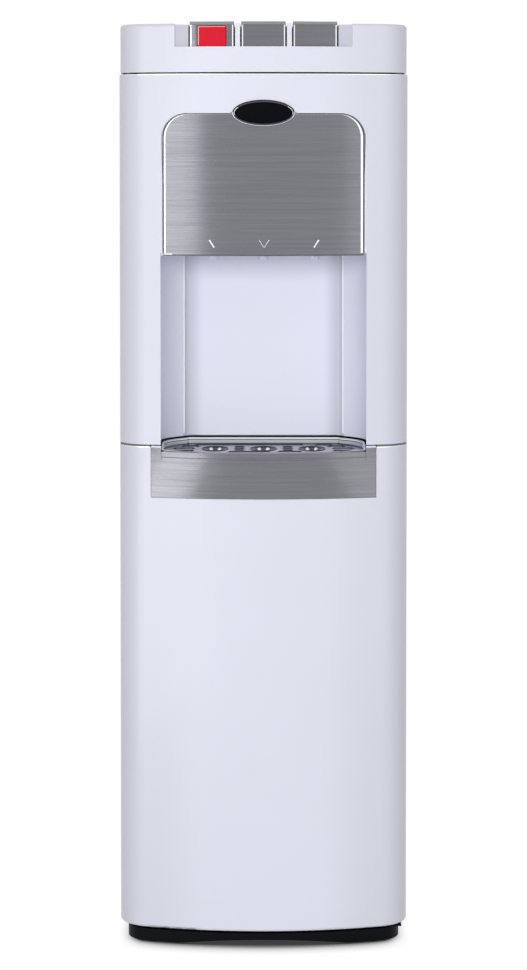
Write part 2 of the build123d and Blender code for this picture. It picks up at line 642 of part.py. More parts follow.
def make_spout(x):
    """One spout: a tapered nozzle through the ceiling, with a collar above and a bore."""
    collar_z = CEILING_TOP
    profile = [
        (SPOUT_BORE, SPOUT_TIP), (SPOUT_R - 0.9, SPOUT_TIP), (SPOUT_R - 0.2, SPOUT_TIP + 3),
        (SPOUT_R, collar_z), (SPOUT_R + 4, collar_z), (SPOUT_R + 4, collar_z + 3),
        (SPOUT_R, collar_z + 3), (SPOUT_R, collar_z + 14), (SPOUT_BORE, collar_z + 14),
    ]
    face = make_face(Plane.XZ * Polyline(*profile, close=True))
    return Pos(x, SPOUT_Y, 0) * revolve(face, Axis.Z)


def lens_spots():
    """Places of the two lamps that light the niche."""
    return (-SPOUT_PITCH / 2, SPOUT_PITCH / 2)


def lens_block(x, grow):
    return block(x - 7 - grow, x + 7 + grow, 26 - grow, 36 + grow,
                 CEILING_BOTTOM - 3 - grow, CEILING_TOP + 3)


def make_niche_lenses():
    lenses = []
    for x in lens_spots():
        lens = lens_block(x, 0)
        lens = fillet(lens.edges().filter_by(Axis.Z), 3)
        lenses.append(lens)
    return lenses


def make_solenoid_valves():
    """Three valves, each a block on its spout with a coil on top and a hose stub behind."""
    z = CEILING_TOP + 14
    valves = []
    for x in SPOUT_XS.values():
        valve = block(x - 11, x + 11, SPOUT_Y - 9, SPOUT_Y + 15, z, z + 16)
        valve += rod_z(z + 16, z + 42, x, SPOUT_Y + 2, 10)
        valve += rod_y(SPOUT_Y + 14, SPOUT_Y + 28, x, z + 8, 4)
        valves.append(valve)
    return valves


# ---------------------------------------------------------------- lid and keys
def make_top_lid():
    lid = column(LID_INSET, DEPTH, LID_BOTTOM, LID_TOP)
    lid = fillet(lid.edges().group_by(Axis.Z)[-1], LID_EDGE)
    inner = LID_INSET + LID_WALL
    lid -= column(inner, DEPTH - LID_WALL, LID_BOTTOM - 1, LID_TOP - LID_WALL)
    lid -= block(-NOTCH_HALF, NOTCH_HALF, -1, NOTCH_BACK, NOTCH_BOTTOM, LID_TOP + 1)
    rib_half = (KEY_PITCH - KEY_WIDTH) / 2 - KEY_GAP
    envelope = column(LID_INSET, NOTCH_BACK + 1, NOTCH_BOTTOM - 4, LID_TOP)
    for x in (-KEY_PITCH / 2, KEY_PITCH / 2):
        rib = block(x - rib_half, x + rib_half, -1, NOTCH_BACK + 1, LID_TOP - 8, LID_TOP)
        rib += block(x - rib_half, x + rib_half, -1, 16, NOTCH_BOTTOM - 4, LID_TOP)
        lid += rib & envelope
    for x in (10 - HALF, HALF - 10):
        for y in (FLANGE_Y + 10, DEPTH - 16):
            lid += rod_z(SIDE_TOP, LID_TOP - 1, x, y, 4)
    return lid


def make_key_chassis():
    """Grey tray under the keys: floor, rear wall, two tall cheeks and two rod posts."""
    floor_z = KEY_BOTTOM - KEY_DROP - 2.5
    cheek_x = NOTCH_HALF - CHEEK_WIDTH
    floor = column(LID_INSET + LID_WALL + CLEAR, NOTCH_BACK + 2, floor_z, floor_z + 2.5)
    chassis = floor & block(-NOTCH_HALF, NOTCH_HALF, -1, NOTCH_BACK + 2, 0, LID_TOP)
    rear_y = NOTCH_BACK + 1.2
    chassis += block(-NOTCH_HALF, NOTCH_HALF, rear_y, rear_y + 2, floor_z, LID_TOP - LID_WALL)
    outer_y = front_y(NOTCH_HALF, LID_INSET + LID_WALL) + 0.6
    inner_y = front_y(cheek_x, KEY_INSET) + 1
    cheek = make_face(Polyline((NOTCH_HALF, outer_y), (cheek_x, inner_y), (cheek_x, NOTCH_BACK),
                               (NOTCH_HALF, NOTCH_BACK), close=True))
    cheek = Pos(0, 0, floor_z + 1) * extrude(cheek, LID_TOP - 1 - floor_z - 1)
    chassis += side_pair(cheek)
    for x in (-KEY_PITCH / 2, KEY_PITCH / 2):
        chassis += block(x - 1.5, x + 1.5, ROD_Y - 6, ROD_Y + 6, floor_z + 1, ROD_Z + 5)
    return chassis - rod_x(-NOTCH_HALF + 4, NOTCH_HALF - 4, ROD_Y, ROD_Z, ROD_R)


def make_key_rod():
    return rod_x(-NOTCH_HALF + 4, NOTCH_HALF - 4, ROD_Y, ROD_Z, ROD_R)


def make_key(name):
    """One key: a hollow cap with a chamfered front edge, turning on the rod at its rear."""
    x = KEY_XS[name]
    half = KEY_WIDTH / 2
    key = column(KEY_INSET, KEY_BACK, KEY_BOTTOM, KEY_TOP)
    key &= block(x - half, x + half, -1, KEY_BACK, KEY_BOTTOM, KEY_TOP)
    top_edges = key.faces().sort_by(Axis.Z)[-1].edges()
    key = chamfer(top_edges.sort_by(Axis.Y)[0], KEY_CHAMFER)
    hollow = column(KEY_INSET + KEY_WALL, KEY_BACK - KEY_WALL, KEY_BOTTOM - 1, KEY_TOP - 2.6)
    hollow &= block(x - half + KEY_WALL, x + half - KEY_WALL, 0, KEY_BACK, 0, KEY_TOP)
    key -= hollow
    rib_y = 40.0
    key += block(x - half + 1, x + half - 1, rib_y, rib_y + 2, KEY_TOP - KEY_RIB, KEY_TOP - 2)
    key -= rod_x(x - half - 1, x + half + 1, ROD_Y, ROD_Z, ROD_R + RUNNING)
    if name == "hot":
        key -= lock_shank(CLEAR)
    return key


def lock_shank(grow):
    """The child lock's shank through the front of the hot key, grown by a clearance."""
    half = LOCK_WIDTH / 2 + grow
    z0 = NOTCH_BOTTOM - grow
    shank = block(LOCK_X - half, LOCK_X + half, -5, 24, z0, z0 + LOCK_HEIGHT + 2 * grow)
    return shank & column(KEY_INSET - LOCK_PROUD - grow, 40, 0, LID_TOP)


def make_child_lock():
    """Red slide in the hot key's front, with a flange behind the key's wall."""
    lock = lock_shank(0)
    inner = KEY_INSET + KEY_WALL + 0.4
    flange = skin(inner, inner + 2, 40, NOTCH_BOTTOM - 1.5, NOTCH_BOTTOM + LOCK_HEIGHT + 0.8)
    half = LOCK_WIDTH / 2 + 2
    flange &= block(LOCK_X - half, LOCK_X + half, 0, 40, 0, LID_TOP)
    return lock + flange


def make_key_switches():
    """Three small switches on the chassis floor, each with a plunger under its key."""
    floor_z = KEY_BOTTOM - KEY_DROP
    switches = []
    for x in KEY_XS.values():
        switch = block(x - 10, x + 10, 34, 44, floor_z, floor_z + 11)
        switch += block(x - 2, x + 2, 38, 42, floor_z + 10, floor_z + 15)
        switches.append(switch)
    return switches


# ---------------------------------------------------------------- cabinet
def make_side_panel():
    """Right side: folded sheet with flanges front, rear, top and bottom."""
    x1 = HALF
    x0 = x1 - SHEET
    z0 = BASE_PAD_TOP
    front = FRONT_DEPTH + SEAM
    panel = block(x0, x1, front, DEPTH, z0, SIDE_TOP)
    panel += block(x1 - FLANGE, x1, FLANGE_Y, FLANGE_Y + SHEET, z0, SIDE_TOP)
    panel += block(x1 - FLANGE, x1, REAR_FLANGE_Y, REAR_FLANGE_Y + SHEET, z0, SIDE_TOP)
    for z in (z0, SIDE_TOP - SHEET):
        panel += block(x1 - FLANGE, x1, FLANGE_Y, REAR_FLANGE_Y + SHEET, z, z + SHEET)
    return panel - screw_holes()


def rear_screw_spots():
    """Rear screws, down both flanges."""
    x = HALF - FLANGE + 7
    low = BASE_PAD_TOP + 21
    step = (SIDE_TOP - 20 - low) / (SCREW_ROWS - 1)
    return [(side * x, low + step * row) for side in (-1, 1) for row in range(SCREW_ROWS)]


def screw_holes():
    holes = [rod_y(DEPTH - 12, DEPTH + 5, x, z, SCREW_R + 0.1) for x, z in rear_screw_spots()]
    return join(holes)


def make_rear_screws():
    """Pan head screws with a cross recess."""
    screws = []
    for x, z in rear_screw_spots():
        screw = rod_y(DEPTH - 8, DEPTH + 0.5, x, z, SCREW_R)
        head = rod_y(DEPTH, DEPTH + SCREW_HEAD, x, z, SCREW_HEAD_R)
        screw += head
        screw -= block(x - 2, x + 2, DEPTH + 1.2, DEPTH + 4, z - 0.5, z + 0.5)
        screw -= block(x - 0.5, x + 0.5, DEPTH + 1.2, DEPTH + 4, z - 2, z + 2)
        screws.append(screw)
    return screws


def make_rear_panel():
    """Rear sheet with vent slots low down, hooded louvres high up and cut-outs for the fittings."""
    half = HALF - SHEET - 0.4
    panel = block(-half, half, DEPTH - SHEET, DEPTH, BASE_PAD_TOP, FASCIA_TOP - 1)
    panel -= screw_holes()
    for x, z in condenser_ends():
        panel -= rod_y(DEPTH - 5, DEPTH + 5, x, z, CONDENSER_TUBE_R + 1)
    for row in range(5):
        for x in (-60.0, 0.0, 60.0):
            place = Pos(x, BASE_PAD_TOP + 41 + 12 * row)
            slot = Plane.XZ.offset(-DEPTH - 2) * place * SlotOverall(44, 4)
            panel -= extrude(slot, 8)
    for x in (-HALF / 2, 0.0, HALF / 2):
        for row in range(LOUVRE_ROWS):
            panel = panel - louvre_slot(x, row) + louvre_hood(x, row)
    half_x = 1.5 * SWITCH_PITCH + 1
    panel -= block(SWITCH_X - half_x, SWITCH_X + half_x, DEPTH - 5, DEPTH + 5,
                   SWITCH_Z - 12, SWITCH_Z + 12)
    panel -= block(INLET_X - 14.2, INLET_X + 14.2, DEPTH - 5, DEPTH + 5, INLET_Z - 10.2, INLET_Z + 10.2)
    for x, _ in (COLD, HOT):
        panel -= rod_y(DEPTH - 5, DEPTH + 5, x, DRAIN_Z, SPIGOT_R + 0.3)
    return panel


def louvre_slot(x, row):
    z = LOUVRE_Z + LOUVRE_PITCH * row
    return block(x - LOUVRE_HALF, x + LOUVRE_HALF, DEPTH - 5, DEPTH + 5, z, z + 5)


def louvre_hood(x, row):
    """Sloping hood over one louvre slot."""
    z = LOUVRE_Z + LOUVRE_PITCH * row
    hood = make_face(Polyline((DEPTH - SHEET, z + 5), (DEPTH - SHEET, z + 6), (DEPTH, z + 6),
                              (DEPTH + 3, z - 1), (DEPTH + 2.2, z - 1.4), close=True))
    return Pos(x - LOUVRE_HALF, 0, 0) * extrude(Plane.YZ * hood, 2 * LOUVRE_HALF)


def make_compartment_liner():
    """Three walls round the bottle, open to the front."""
    liner = block(-LINER_HALF, LINER_HALF, LINER_FRONT, LINER_REAR, BASE_PAD_TOP, LINER_TOP)
    inner = LINER_HALF - LINER_WALL
    liner -= block(-inner, inner, 0, LINER_REAR - LINER_WALL, 0, LINER_TOP + 1)
    lip = block(LINER_HALF - 1, LINER_HALF + 7, LINER_FRONT, LINER_FRONT + LINER_WALL,
                BASE_PAD_TOP + 2 * SHEET, LINER_TOP)
    return liner + side_pair(lip)


def make_bottle_platform():
    """Shallow tray that the bottle stands on, with a raised rim and cross ribs."""
    rear = LINER_REAR - LINER_WALL - 2

    def body(inset, z0, z1):
        shape = column(PLATFORM_INSET + inset, rear - inset, z0, z1)
        half = PLATFORM_HALF - inset
        shape &= block(-half, half, 0, DEPTH, z0, z1)
        notch = block(PLATFORM_NECK - inset, WIDTH, -1, LINER_FRONT + 2 + inset, z0 - 1, z1 + 1)
        return shape - side_pair(notch)

    platform = body(0, BASE_PAD_TOP, BASE_PAD_TOP + PLATE + PLATFORM_RIM)
    platform -= body(2.5, BASE_PAD_TOP + PLATE, BASE_PAD_TOP + PLATE + PLATFORM_RIM + 1)
    ring = rod_z(0, BASE_PAD_TOP + PLATE + 2, 0, BOTTLE_Y, 60)
    ring -= rod_z(-1, BASE_PAD_TOP + PLATE + 3, 0, BOTTLE_Y, 56)
    return platform + (ring & block(-80, 80, 0, DEPTH, BASE_PAD_TOP, LINER_TOP))


def make_mid_deck():
    """Sheet deck over the bottle compartment, folded down at the sides and up in front."""
    half = HALF - SHEET
    front = NICHE_DEPTH + 2.5 + 3
    z0 = LINER_TOP
    deck = block(-half, half, front, DECK_REAR, z0, z0 + 2)
    deck += side_pair(block(half - 2, half, front, DECK_REAR, z0 - 14, z0 + 2))
    deck += block(-half + 8, half - 8, front, front + 2, z0, z0 + 16)
    deck -= rod_z(z0 - 5, z0 + 5, RISER[0], RISER[1], HOSE_R + 1.5)
    return deck


def make_tank_shelf():
    half = HALF - SHEET
    front = NICHE_DEPTH + 12
    shelf = block(-half, half, front, DECK_REAR, SHELF_Z, SHELF_TOP)
    shelf += side_pair(block(half - 1.5, half, front, DECK_REAR, SHELF_Z - 14, SHELF_TOP))
    shelf -= rod_z(SHELF_Z - 5, SHELF_Z + 5, RISER[0], RISER[1], HOSE_R + 1.5)
    for x, y in (COLD, HOT):
        shelf -= rod_z(SHELF_Z - 5, SHELF_Z + 5, x, y, HOSE_R + 1.5)
    return shelf


# ---------------------------------------------------------------- bottle probe and pump
def make_probe_tube():
    """Steel suction tube with slots at its foot."""
    x, y = PROBE
    foot = BASE_PAD_TOP + 41
    top = LINER_TOP - 57
    tube = rod_z(foot, top, x, y, TUBE_R) - rod_z(foot - 1, top + 1, x, y, TUBE_R - 1.4)
    for row in range(3):
        z = foot + 6 + 8 * row
        tube -= block(x - 8, x + 8, y - 1.5, y + 1.5, z, z + 4)
    return tube


def make_probe_cap():
    """Snap cap for the bottle's neck, with a collar round the suction tube."""
    x, y = PROBE
    top = LINER_TOP - 57
    cap = rod_z(top - 22, top + 6, x, y, CAP_NECK_R) - rod_z(top - 30, top + 3, x, y, CAP_NECK_R - 2.5)
    cap += rod_z(top, top + 14, x, y, TUBE_R + 4)
    return cap - rod_z(top - 30, top, x, y, TUBE_R)


def make_probe_holder():
    """Clip and foot cup on the rear wall that park the probe."""
    x, y = PROBE
    wall = LINER_REAR - LINER_WALL
    foot = BASE_PAD_TOP + 33
    high = LINER_TOP - 117
    bore = TUBE_R + 0.2
    clip = block(x - 12, x + 12, y + 4, wall, high, high + 16)
    clip += rod_z(high, high + 16, x, y, TUBE_R + 4)
    clip -= rod_z(high - 1, high + 17, x, y, bore)
    clip -= block(x - 4.5, x + 4.5, y - 20, y, high - 1, high + 17)
    cup = block(x - 14, x + 14, y - 10, wall, foot, foot + 14) - rod_z(foot + 7.8, foot + 15, x, y, bore)
    return [clip, cup]


def make_probe_hose():
    x, y = PROBE
    points = [(x, y, LINER_TOP - 43), (x, y, PUMP_Z), (RISER[0] - 34, y, PUMP_Z)]
    return pipe(points, [14], HOSE_R)


def make_pump():
    """Diaphragm pump hung from the deck: motor, head, two ports and a mounting plate."""
    x, y = RISER
    motor = rod_x(x - 14, x + 27, y - 4, PUMP_Z - 8, 16)
    head = block(x - 30, x - 12, y - 22, y + 12, PUMP_Z - 26, PUMP_Z + 10)
    head = fillet(head.edges().filter_by(Axis.X), 5)
    plate = block(x - 30, x + 27, y - 20, y + 10, PUMP_Z + 8, LINER_TOP)
    plate -= block(x - 12, x + 28, y - 21, y + 11, PUMP_Z + 7, LINER_TOP - 4)
    port = rod_x(x - 34, x - 29, y - 4, PUMP_Z, 6)
    outlet = rod_z(PUMP_Z + 5, LINER_TOP, x, y, HOSE_R)
    return motor + head + plate + port + outlet


def make_riser_hose():
    """Water hose from the pump up through both decks into the cold tank's top."""
    top = TANK_TOP + 40
    points = [(RISER[0], RISER[1], LINER_TOP), (RISER[0], RISER[1], top),
              (COLD[0], COLD[1], top), (COLD[0], COLD[1], TANK_TOP + JACKET_WALL)]
    return pipe(points, [26, 22], HOSE_R)


# ---------------------------------------------------------------- tanks and cooling
def make_cold_jacket():
    """Foam jacket round the cold tank."""
    x, y = COLD
    jacket = rod_z(SHELF_TOP, TANK_TOP + JACKET_WALL, x, y, COLD_JACKET_R)
    jacket -= rod_z(SHELF_TOP + JACKET_WALL, TANK_TOP, x, y, COLD_JACKET_R - JACKET_WALL)
    return jacket - rod_z(SHELF_Z, SHELF_TOP + JACKET_WALL + 1, x, y, HOSE_R)


def make_cold_tank():
    """Steel tank with a domed floor."""
    x, y = COLD
    z0 = SHELF_TOP + JACKET_WALL
    tank = rod_z(z0, TANK_TOP, x, y, COLD_R)
    tank = fillet(tank.edges().group_by(Axis.Z)[0], 10)
    hollow = rod_z(z0 + 2, TANK_TOP - 2, x, y, COLD_R - 2)
    return tank - fillet(hollow.edges().group_by(Axis.Z)[0], 8)


def make_evaporator():
    """Rings of tube round the cold tank, joined by one riser."""
    x, y = COLD
    ring_r = COLD_R + COIL_R + 0.4
    z0 = SHELF_Z + 40
    coil = rod_z(z0, z0 + COIL_PITCH * (COIL_TURNS - 1), x, y - ring_r, COIL_R - 0.8)
    for turn in range(COIL_TURNS):
        coil += Pos(x, y, z0 + COIL_PITCH * turn) * Torus(ring_r, COIL_R)
    return coil


def make_hot_jacket():
    x, y = HOT
    jacket = rod_z(SHELF_TOP, TANK_TOP, x, y, HOT_JACKET_R)
    jacket -= rod_z(SHELF_TOP + 10, TANK_TOP - 10, x, y, HOT_R)
    return jacket - rod_z(SHELF_Z, SHELF_TOP + 11, x, y, HOSE_R)


def make_hot_tank():
    x, y = HOT
    tank = rod_z(SHELF_TOP + 10, TANK_TOP - 10, x, y, HOT_R)
    return tank - rod_z(SHELF_TOP + 12, TANK_TOP - 12, x, y, HOT_R - 1.5)


def make_drain_pipes():
    """Elbows from the tanks' floors to the rear, ending in the spigots."""
    pipes = []
    for x, y in (COLD, HOT):
        run = pipe([(x, y, SHELF_TOP), (x, y, DRAIN_Z), (x, DEPTH - 20, DRAIN_Z)], [11], HOSE_R - 1)
        run += rod_y(DEPTH - 21, SPIGOT_REACH, x, DRAIN_Z, SPIGOT_R)
        pipes.append(run)
    return pipes


def make_drain_cap(x):
    """Screw cap with grip flutes, over the spigot."""
    cap = rod_y(SPIGOT_REACH - 10, CAP_REACH, x, DRAIN_Z, CAP_R)
    for turn in range(12):
        angle = math.radians(30 * turn)
        cap -= rod_y(SPIGOT_REACH - 11, CAP_REACH + 1, x + (CAP_R + 0.8) * math.cos(angle),
                     DRAIN_Z + (CAP_R + 0.8) * math.sin(angle), 1.5)
    return cap - rod_y(SPIGOT_REACH - 11, SPIGOT_REACH + 0.1, x, DRAIN_Z, SPIGOT_R + RUNNING)


def grommet_spots():
    x, y = COMPRESSOR
    return [(x + sx * 62, y + sy * 46) for sx in (-1, 1) for sy in (-1, 1)]


def make_compressor():
    """Domed hermetic shell on a sheet foot, with a terminal box and three stubs."""
    x, y = COMPRESSOR
    foot_z = LINER_TOP + 2 + GROMMET_HEIGHT
    r = COMPRESSOR_R
    low = foot_z + 3
    body = rod_z(low, COMPRESSOR_TOP, x, y, r)
    body = fillet(body.edges().group_by(Axis.Z)[-1], 30)
    body = fillet(body.edges().group_by(Axis.Z)[0], 14)
    foot = block(x - 74, x + 74, y - 56, y + 56, foot_z, foot_z + 3.5)
    foot = fillet(foot.edges().filter_by(Axis.Z), 12)
    band = rod_z(low + 44, low + 50, x, y, r + 2)
    box = block(x + r - 8, x + r + 22, y - 24, y + 24, low + 20, low + 66)
    core = rod_z(low + CORE_WALL, COMPRESSOR_TOP - CORE_WALL, x, y, r - CORE_WALL)
    return body + foot + band + fillet(box.edges().filter_by(Axis.X), 5) - core


def make_grommets():
    """Waisted rubber mounts under the compressor's foot."""
    z0 = LINER_TOP + 2
    mounts = []
    for x, y in grommet_spots():
        mount = rod_z(z0, z0 + GROMMET_HEIGHT, x, y, GROMMET_R)
        groove = rod_z(z0 + 5, z0 + 8, x, y, GROMMET_R + 1) - rod_z(z0, z0 + 20, x, y, GROMMET_R - 2.5)
        mounts.append(mount - groove)
    return mounts


def make_filter_drier():
    """Copper drier with coned ends, standing on the deck beside the compressor."""
    z0 = LINER_TOP + 2
    profile = [(0, z0), (3, z0), (3, z0 + 12), (9, z0 + 22), (9, z0 + 96), (3, z0 + 106),
               (3, z0 + 130), (0, z0 + 130)]
    face = make_face(Plane.XZ * Polyline(*profile, close=True))
    return Pos(HALF - 48, DEPTH - 98, 0) * revolve(face, Axis.Z)


def condenser_ends():
    """Where the condenser's two ends pass through the rear panel."""
    return [(CONDENSER_HALF - 18, CONDENSER_TOP), (CONDENSER_HALF + 14, CONDENSER_TOP + 16)]


def make_condenser_tube():
    """One long serpentine of tube behind the rear panel."""
    (in_x, in_z), (out_x, out_z) = condenser_ends()
    y = CONDENSER_Y
    inside = DEPTH - 8
    points = [(in_x, inside, in_z), (in_x, y, in_z)]
    side = -1
    z = in_z
    for _ in range(CONDENSER_PASSES - 1):
        points.append((side * CONDENSER_HALF, y, z))
        z -= CONDENSER_PITCH
        points.append((side * CONDENSER_HALF, y, z))
        side = -side
    points += [(out_x, y, z), (out_x, y, out_z), (out_x, inside, out_z)]
    bend = CONDENSER_PITCH / 2 - 1
    radii = [5] + [bend] * (len(points) - 4) + [5]
    return pipe(points, radii, CONDENSER_TUBE_R)


def make_condenser_wires():
    """Upright wires welded across the serpentine."""
    z0 = CONDENSER_TOP - CONDENSER_PITCH * (CONDENSER_PASSES - 1) - 10
    y = CONDENSER_Y + CONDENSER_TUBE_R + WIRE_R
    first = -WIRE_PITCH * (WIRE_COUNT - 1) / 2
    return [rod_z(z0, CONDENSER_TOP + 4, first + WIRE_PITCH * step, y, WIRE_R)
            for step in range(WIRE_COUNT)]


def make_condenser_clips():
    """Four stand-offs that hold the serpentine off the rear panel."""
    clips = []
    low = CONDENSER_TOP - CONDENSER_PITCH * (CONDENSER_PASSES - 2)
    for x in (30 - CONDENSER_HALF, CONDENSER_HALF - 30):
        for z in (CONDENSER_TOP - CONDENSER_PITCH, low):
            clip = block(x - 5, x + 5, DEPTH, CONDENSER_Y + 1, z - 6, z + 6)
            clips.append(clip - rod_x(x - 6, x + 6, CONDENSER_Y, z, CONDENSER_TUBE_R))
    return clips


# ---------------------------------------------------------------- electrics
def make_control_box():
    """Control housing screwed to the right side panel."""
    x1 = HALF - SHEET
    top = FASCIA_TOP - 35
    box = block(x1 - 40, x1, 84, 148, top - BOX_HEIGHT, top)
    box = fillet(box.edges().filter_by(Axis.X), 6)
    for row in range(5):
        z = top - 50 + 8 * row
        box -= block(x1 - 41, x1 - 38, 96, 136, z, z + 3)
    return box


def rocker_spots():
    return {"hot": SWITCH_X - SWITCH_PITCH, "cold": SWITCH_X, "lamp": SWITCH_X + SWITCH_PITCH}


def make_switch_plate():
    """Housing of the three rocker switches, set in the rear panel."""
    half_x = 1.5 * SWITCH_PITCH + 1
    plate = block(SWITCH_X - half_x + 0.2, SWITCH_X + half_x - 0.2, DEPTH - 16, DEPTH + 2,
                  SWITCH_Z - 11.8, SWITCH_Z + 11.8)
    plate += block(SWITCH_X - half_x - 2, SWITCH_X + half_x + 2, DEPTH, DEPTH + 2,
                   SWITCH_Z - 14, SWITCH_Z + 14)
    for x in rocker_spots().values():
        plate -= block(x - ROCKER_HALF_X - CLEAR, x + ROCKER_HALF_X + CLEAR, DEPTH - 12, DEPTH + 3,
                       SWITCH_Z - ROCKER_HALF_Z - 1.2, SWITCH_Z + ROCKER_HALF_Z + 1.2)
        plate -= rod_x(x - ROCKER_HALF_X - 2, x + ROCKER_HALF_X + 2, DEPTH - 3, SWITCH_Z, 1.5 + RUNNING)
    return plate


def make_rocker(x):
    """Rocker with a dished face and two pivot stubs."""
    hz = ROCKER_HALF_Z
    points = [(DEPTH - 6, SWITCH_Z - hz + 3), (DEPTH + 3.5, SWITCH_Z - hz), (DEPTH + 2, SWITCH_Z),
              (DEPTH + 3.5, SWITCH_Z + hz), (DEPTH - 6, SWITCH_Z + hz - 3)]
    face = make_face(Polyline(*points, close=True))
    rocker = Pos(x - ROCKER_HALF_X, 0, 0) * extrude(Plane.YZ * face, 2 * ROCKER_HALF_X)
    return rocker + rod_x(x - ROCKER_HALF_X - 1.6, x + ROCKER_HALF_X + 1.6, DEPTH - 3, SWITCH_Z, 1.5)


def make_power_inlet():
    """Mains inlet with three pins; no lead is plugged in."""
    inlet = block(INLET_X - 14, INLET_X + 14, DEPTH - 20, DEPTH + 2, INLET_Z - 10, INLET_Z + 10)
    inlet += block(INLET_X - 24, INLET_X + 24, DEPTH, DEPTH + 2, INLET_Z - 13, INLET_Z + 13)
    inlet -= block(INLET_X - 12, INLET_X + 12, DEPTH - 16, DEPTH + 3, INLET_Z - 8, INLET_Z + 8)
    for x, z in ((-7, -1), (0, 2.5), (7, -1)):
        inlet += block(INLET_X + x - 1, INLET_X + x + 1, DEPTH - 17, DEPTH - 3,
                       INLET_Z + z - 2, INLET_Z + z + 2)
    return inlet


# ---------------------------------------------------------------- assembly
def make_pieces():
    """Every node of the cooler, by name."""
    pieces = {
        "base": make_base(),
        "base_feet": make_feet(),
        "door_shell": make_door_shell(),
        "door_liner": make_door_liner(),
        "door_magnet": magnet_block(0),
        "catch_plate": make_catch_plate(),
        "hinge_plates": make_hinge_plates(),
        "hinge_bushes": make_hinge_bushes(),
        "tray_holder": make_tray_holder(),
        "drip_basin": make_drip_basin(),
        "drip_grille": make_drip_grille(),
        "front_fascia": make_fascia(),
        "badge_rim": make_badge_rim(),
        "badge_face": make_badge_face(),
        "panel_trim": make_panel_trim(),
        "spout_panel": make_spout_panel(),
        "niche_liner": make_niche_liner(),
        "niche_back": make_niche_back(),
        "spouts": [make_spout(x) for x in SPOUT_XS.values()],
        "niche_lenses": make_niche_lenses(),
        "solenoid_valves": make_solenoid_valves(),
        "top_lid": make_top_lid(),
        "key_chassis": make_key_chassis(),
        "key_rod": make_key_rod(),
        "child_lock": make_child_lock(),
        "key_switches": make_key_switches(),
        "right_side_panel": make_side_panel(),
        "left_side_panel": mirror(make_side_panel(), Plane.YZ),
        "rear_screws": make_rear_screws(),
        "rear_panel": make_rear_panel(),
        "compartment_liner": make_compartment_liner(),
        "bottle_platform": make_bottle_platform(),
        "mid_deck": make_mid_deck(),
        "tank_shelf": make_tank_shelf(),
        "probe_tube": make_probe_tube(),
        "probe_cap": make_probe_cap(),
        "probe_holder": make_probe_holder(),
        "pump": make_pump(),
        "water_hoses": [make_probe_hose(), make_riser_hose()],
        "tank_jackets": [make_cold_jacket(), make_hot_jacket()],
        "cold_tank": make_cold_tank(),
        "evaporator_coil": make_evaporator(),
        "hot_tank": make_hot_tank(),
        "drain_pipes": make_drain_pipes(),
        "compressor": make_compressor(),
        "compressor_mounts": make_grommets(),
        "filter_drier": make_filter_drier(),
        "condenser": [make_condenser_tube()] + make_condenser_wires(),
        "condenser_clips": make_condenser_clips(),
        "control_box": make_control_box(),
        "switch_plate": make_switch_plate(),
        "power_inlet": make_power_inlet(),
    }
    for name in KEY_XS:
        pieces["key_" + name] = make_key(name)
    for name, x in rocker_spots().items():
        pieces["rocker_" + name] = make_rocker(x)
    for name, (x, _) in (("cold", COLD), ("hot", HOT)):
        pieces["drain_cap_" + name] = make_drain_cap(x)
    return pieces


def as_part(piece):
    """One part that holds a piece, or all the pieces of a list."""
    solids = []
    for item in piece if isinstance(piece, list) else [piece]:
        solids += item.solids()
    return solids[0] if len(solids) == 1 else Compound(children=solids)


os.makedirs("parts", exist_ok=True)
for node, piece in make_pieces().items():
    export_step(Pos(0, -MID_Y, 0) * as_part(piece), "parts/" + node + ".step")
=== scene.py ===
import json
import math

import bmesh
import bpy
from mathutils import Matrix, Vector
from mathutils.bvhtree import BVHTree
from mathutils.geometry import convex_hull_2d


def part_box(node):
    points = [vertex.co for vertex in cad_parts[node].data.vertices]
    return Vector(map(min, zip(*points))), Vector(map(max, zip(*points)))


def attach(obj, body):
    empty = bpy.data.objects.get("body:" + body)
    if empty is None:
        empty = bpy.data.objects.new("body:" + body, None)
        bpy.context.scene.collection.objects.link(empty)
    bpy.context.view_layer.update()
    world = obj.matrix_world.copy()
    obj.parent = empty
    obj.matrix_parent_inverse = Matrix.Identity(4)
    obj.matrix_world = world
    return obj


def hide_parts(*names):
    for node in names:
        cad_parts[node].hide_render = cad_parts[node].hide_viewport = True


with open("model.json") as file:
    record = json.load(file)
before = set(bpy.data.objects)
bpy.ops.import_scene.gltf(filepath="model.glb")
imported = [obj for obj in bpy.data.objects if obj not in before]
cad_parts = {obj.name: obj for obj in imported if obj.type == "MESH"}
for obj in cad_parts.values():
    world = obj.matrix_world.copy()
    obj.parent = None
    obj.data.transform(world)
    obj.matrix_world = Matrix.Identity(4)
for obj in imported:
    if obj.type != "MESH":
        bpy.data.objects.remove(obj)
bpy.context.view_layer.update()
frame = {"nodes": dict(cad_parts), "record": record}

MM = 0.001
NODES = frame["nodes"]
SLOTS = {part["node"]: part["material_slot"] for part in frame["record"]["subparts"]}


# ---------------------------------------------------------------- node helpers
NOISE_LOW, NOISE_HIGH = 0.3, 0.7      # the middle of a noise, where most of its values lie


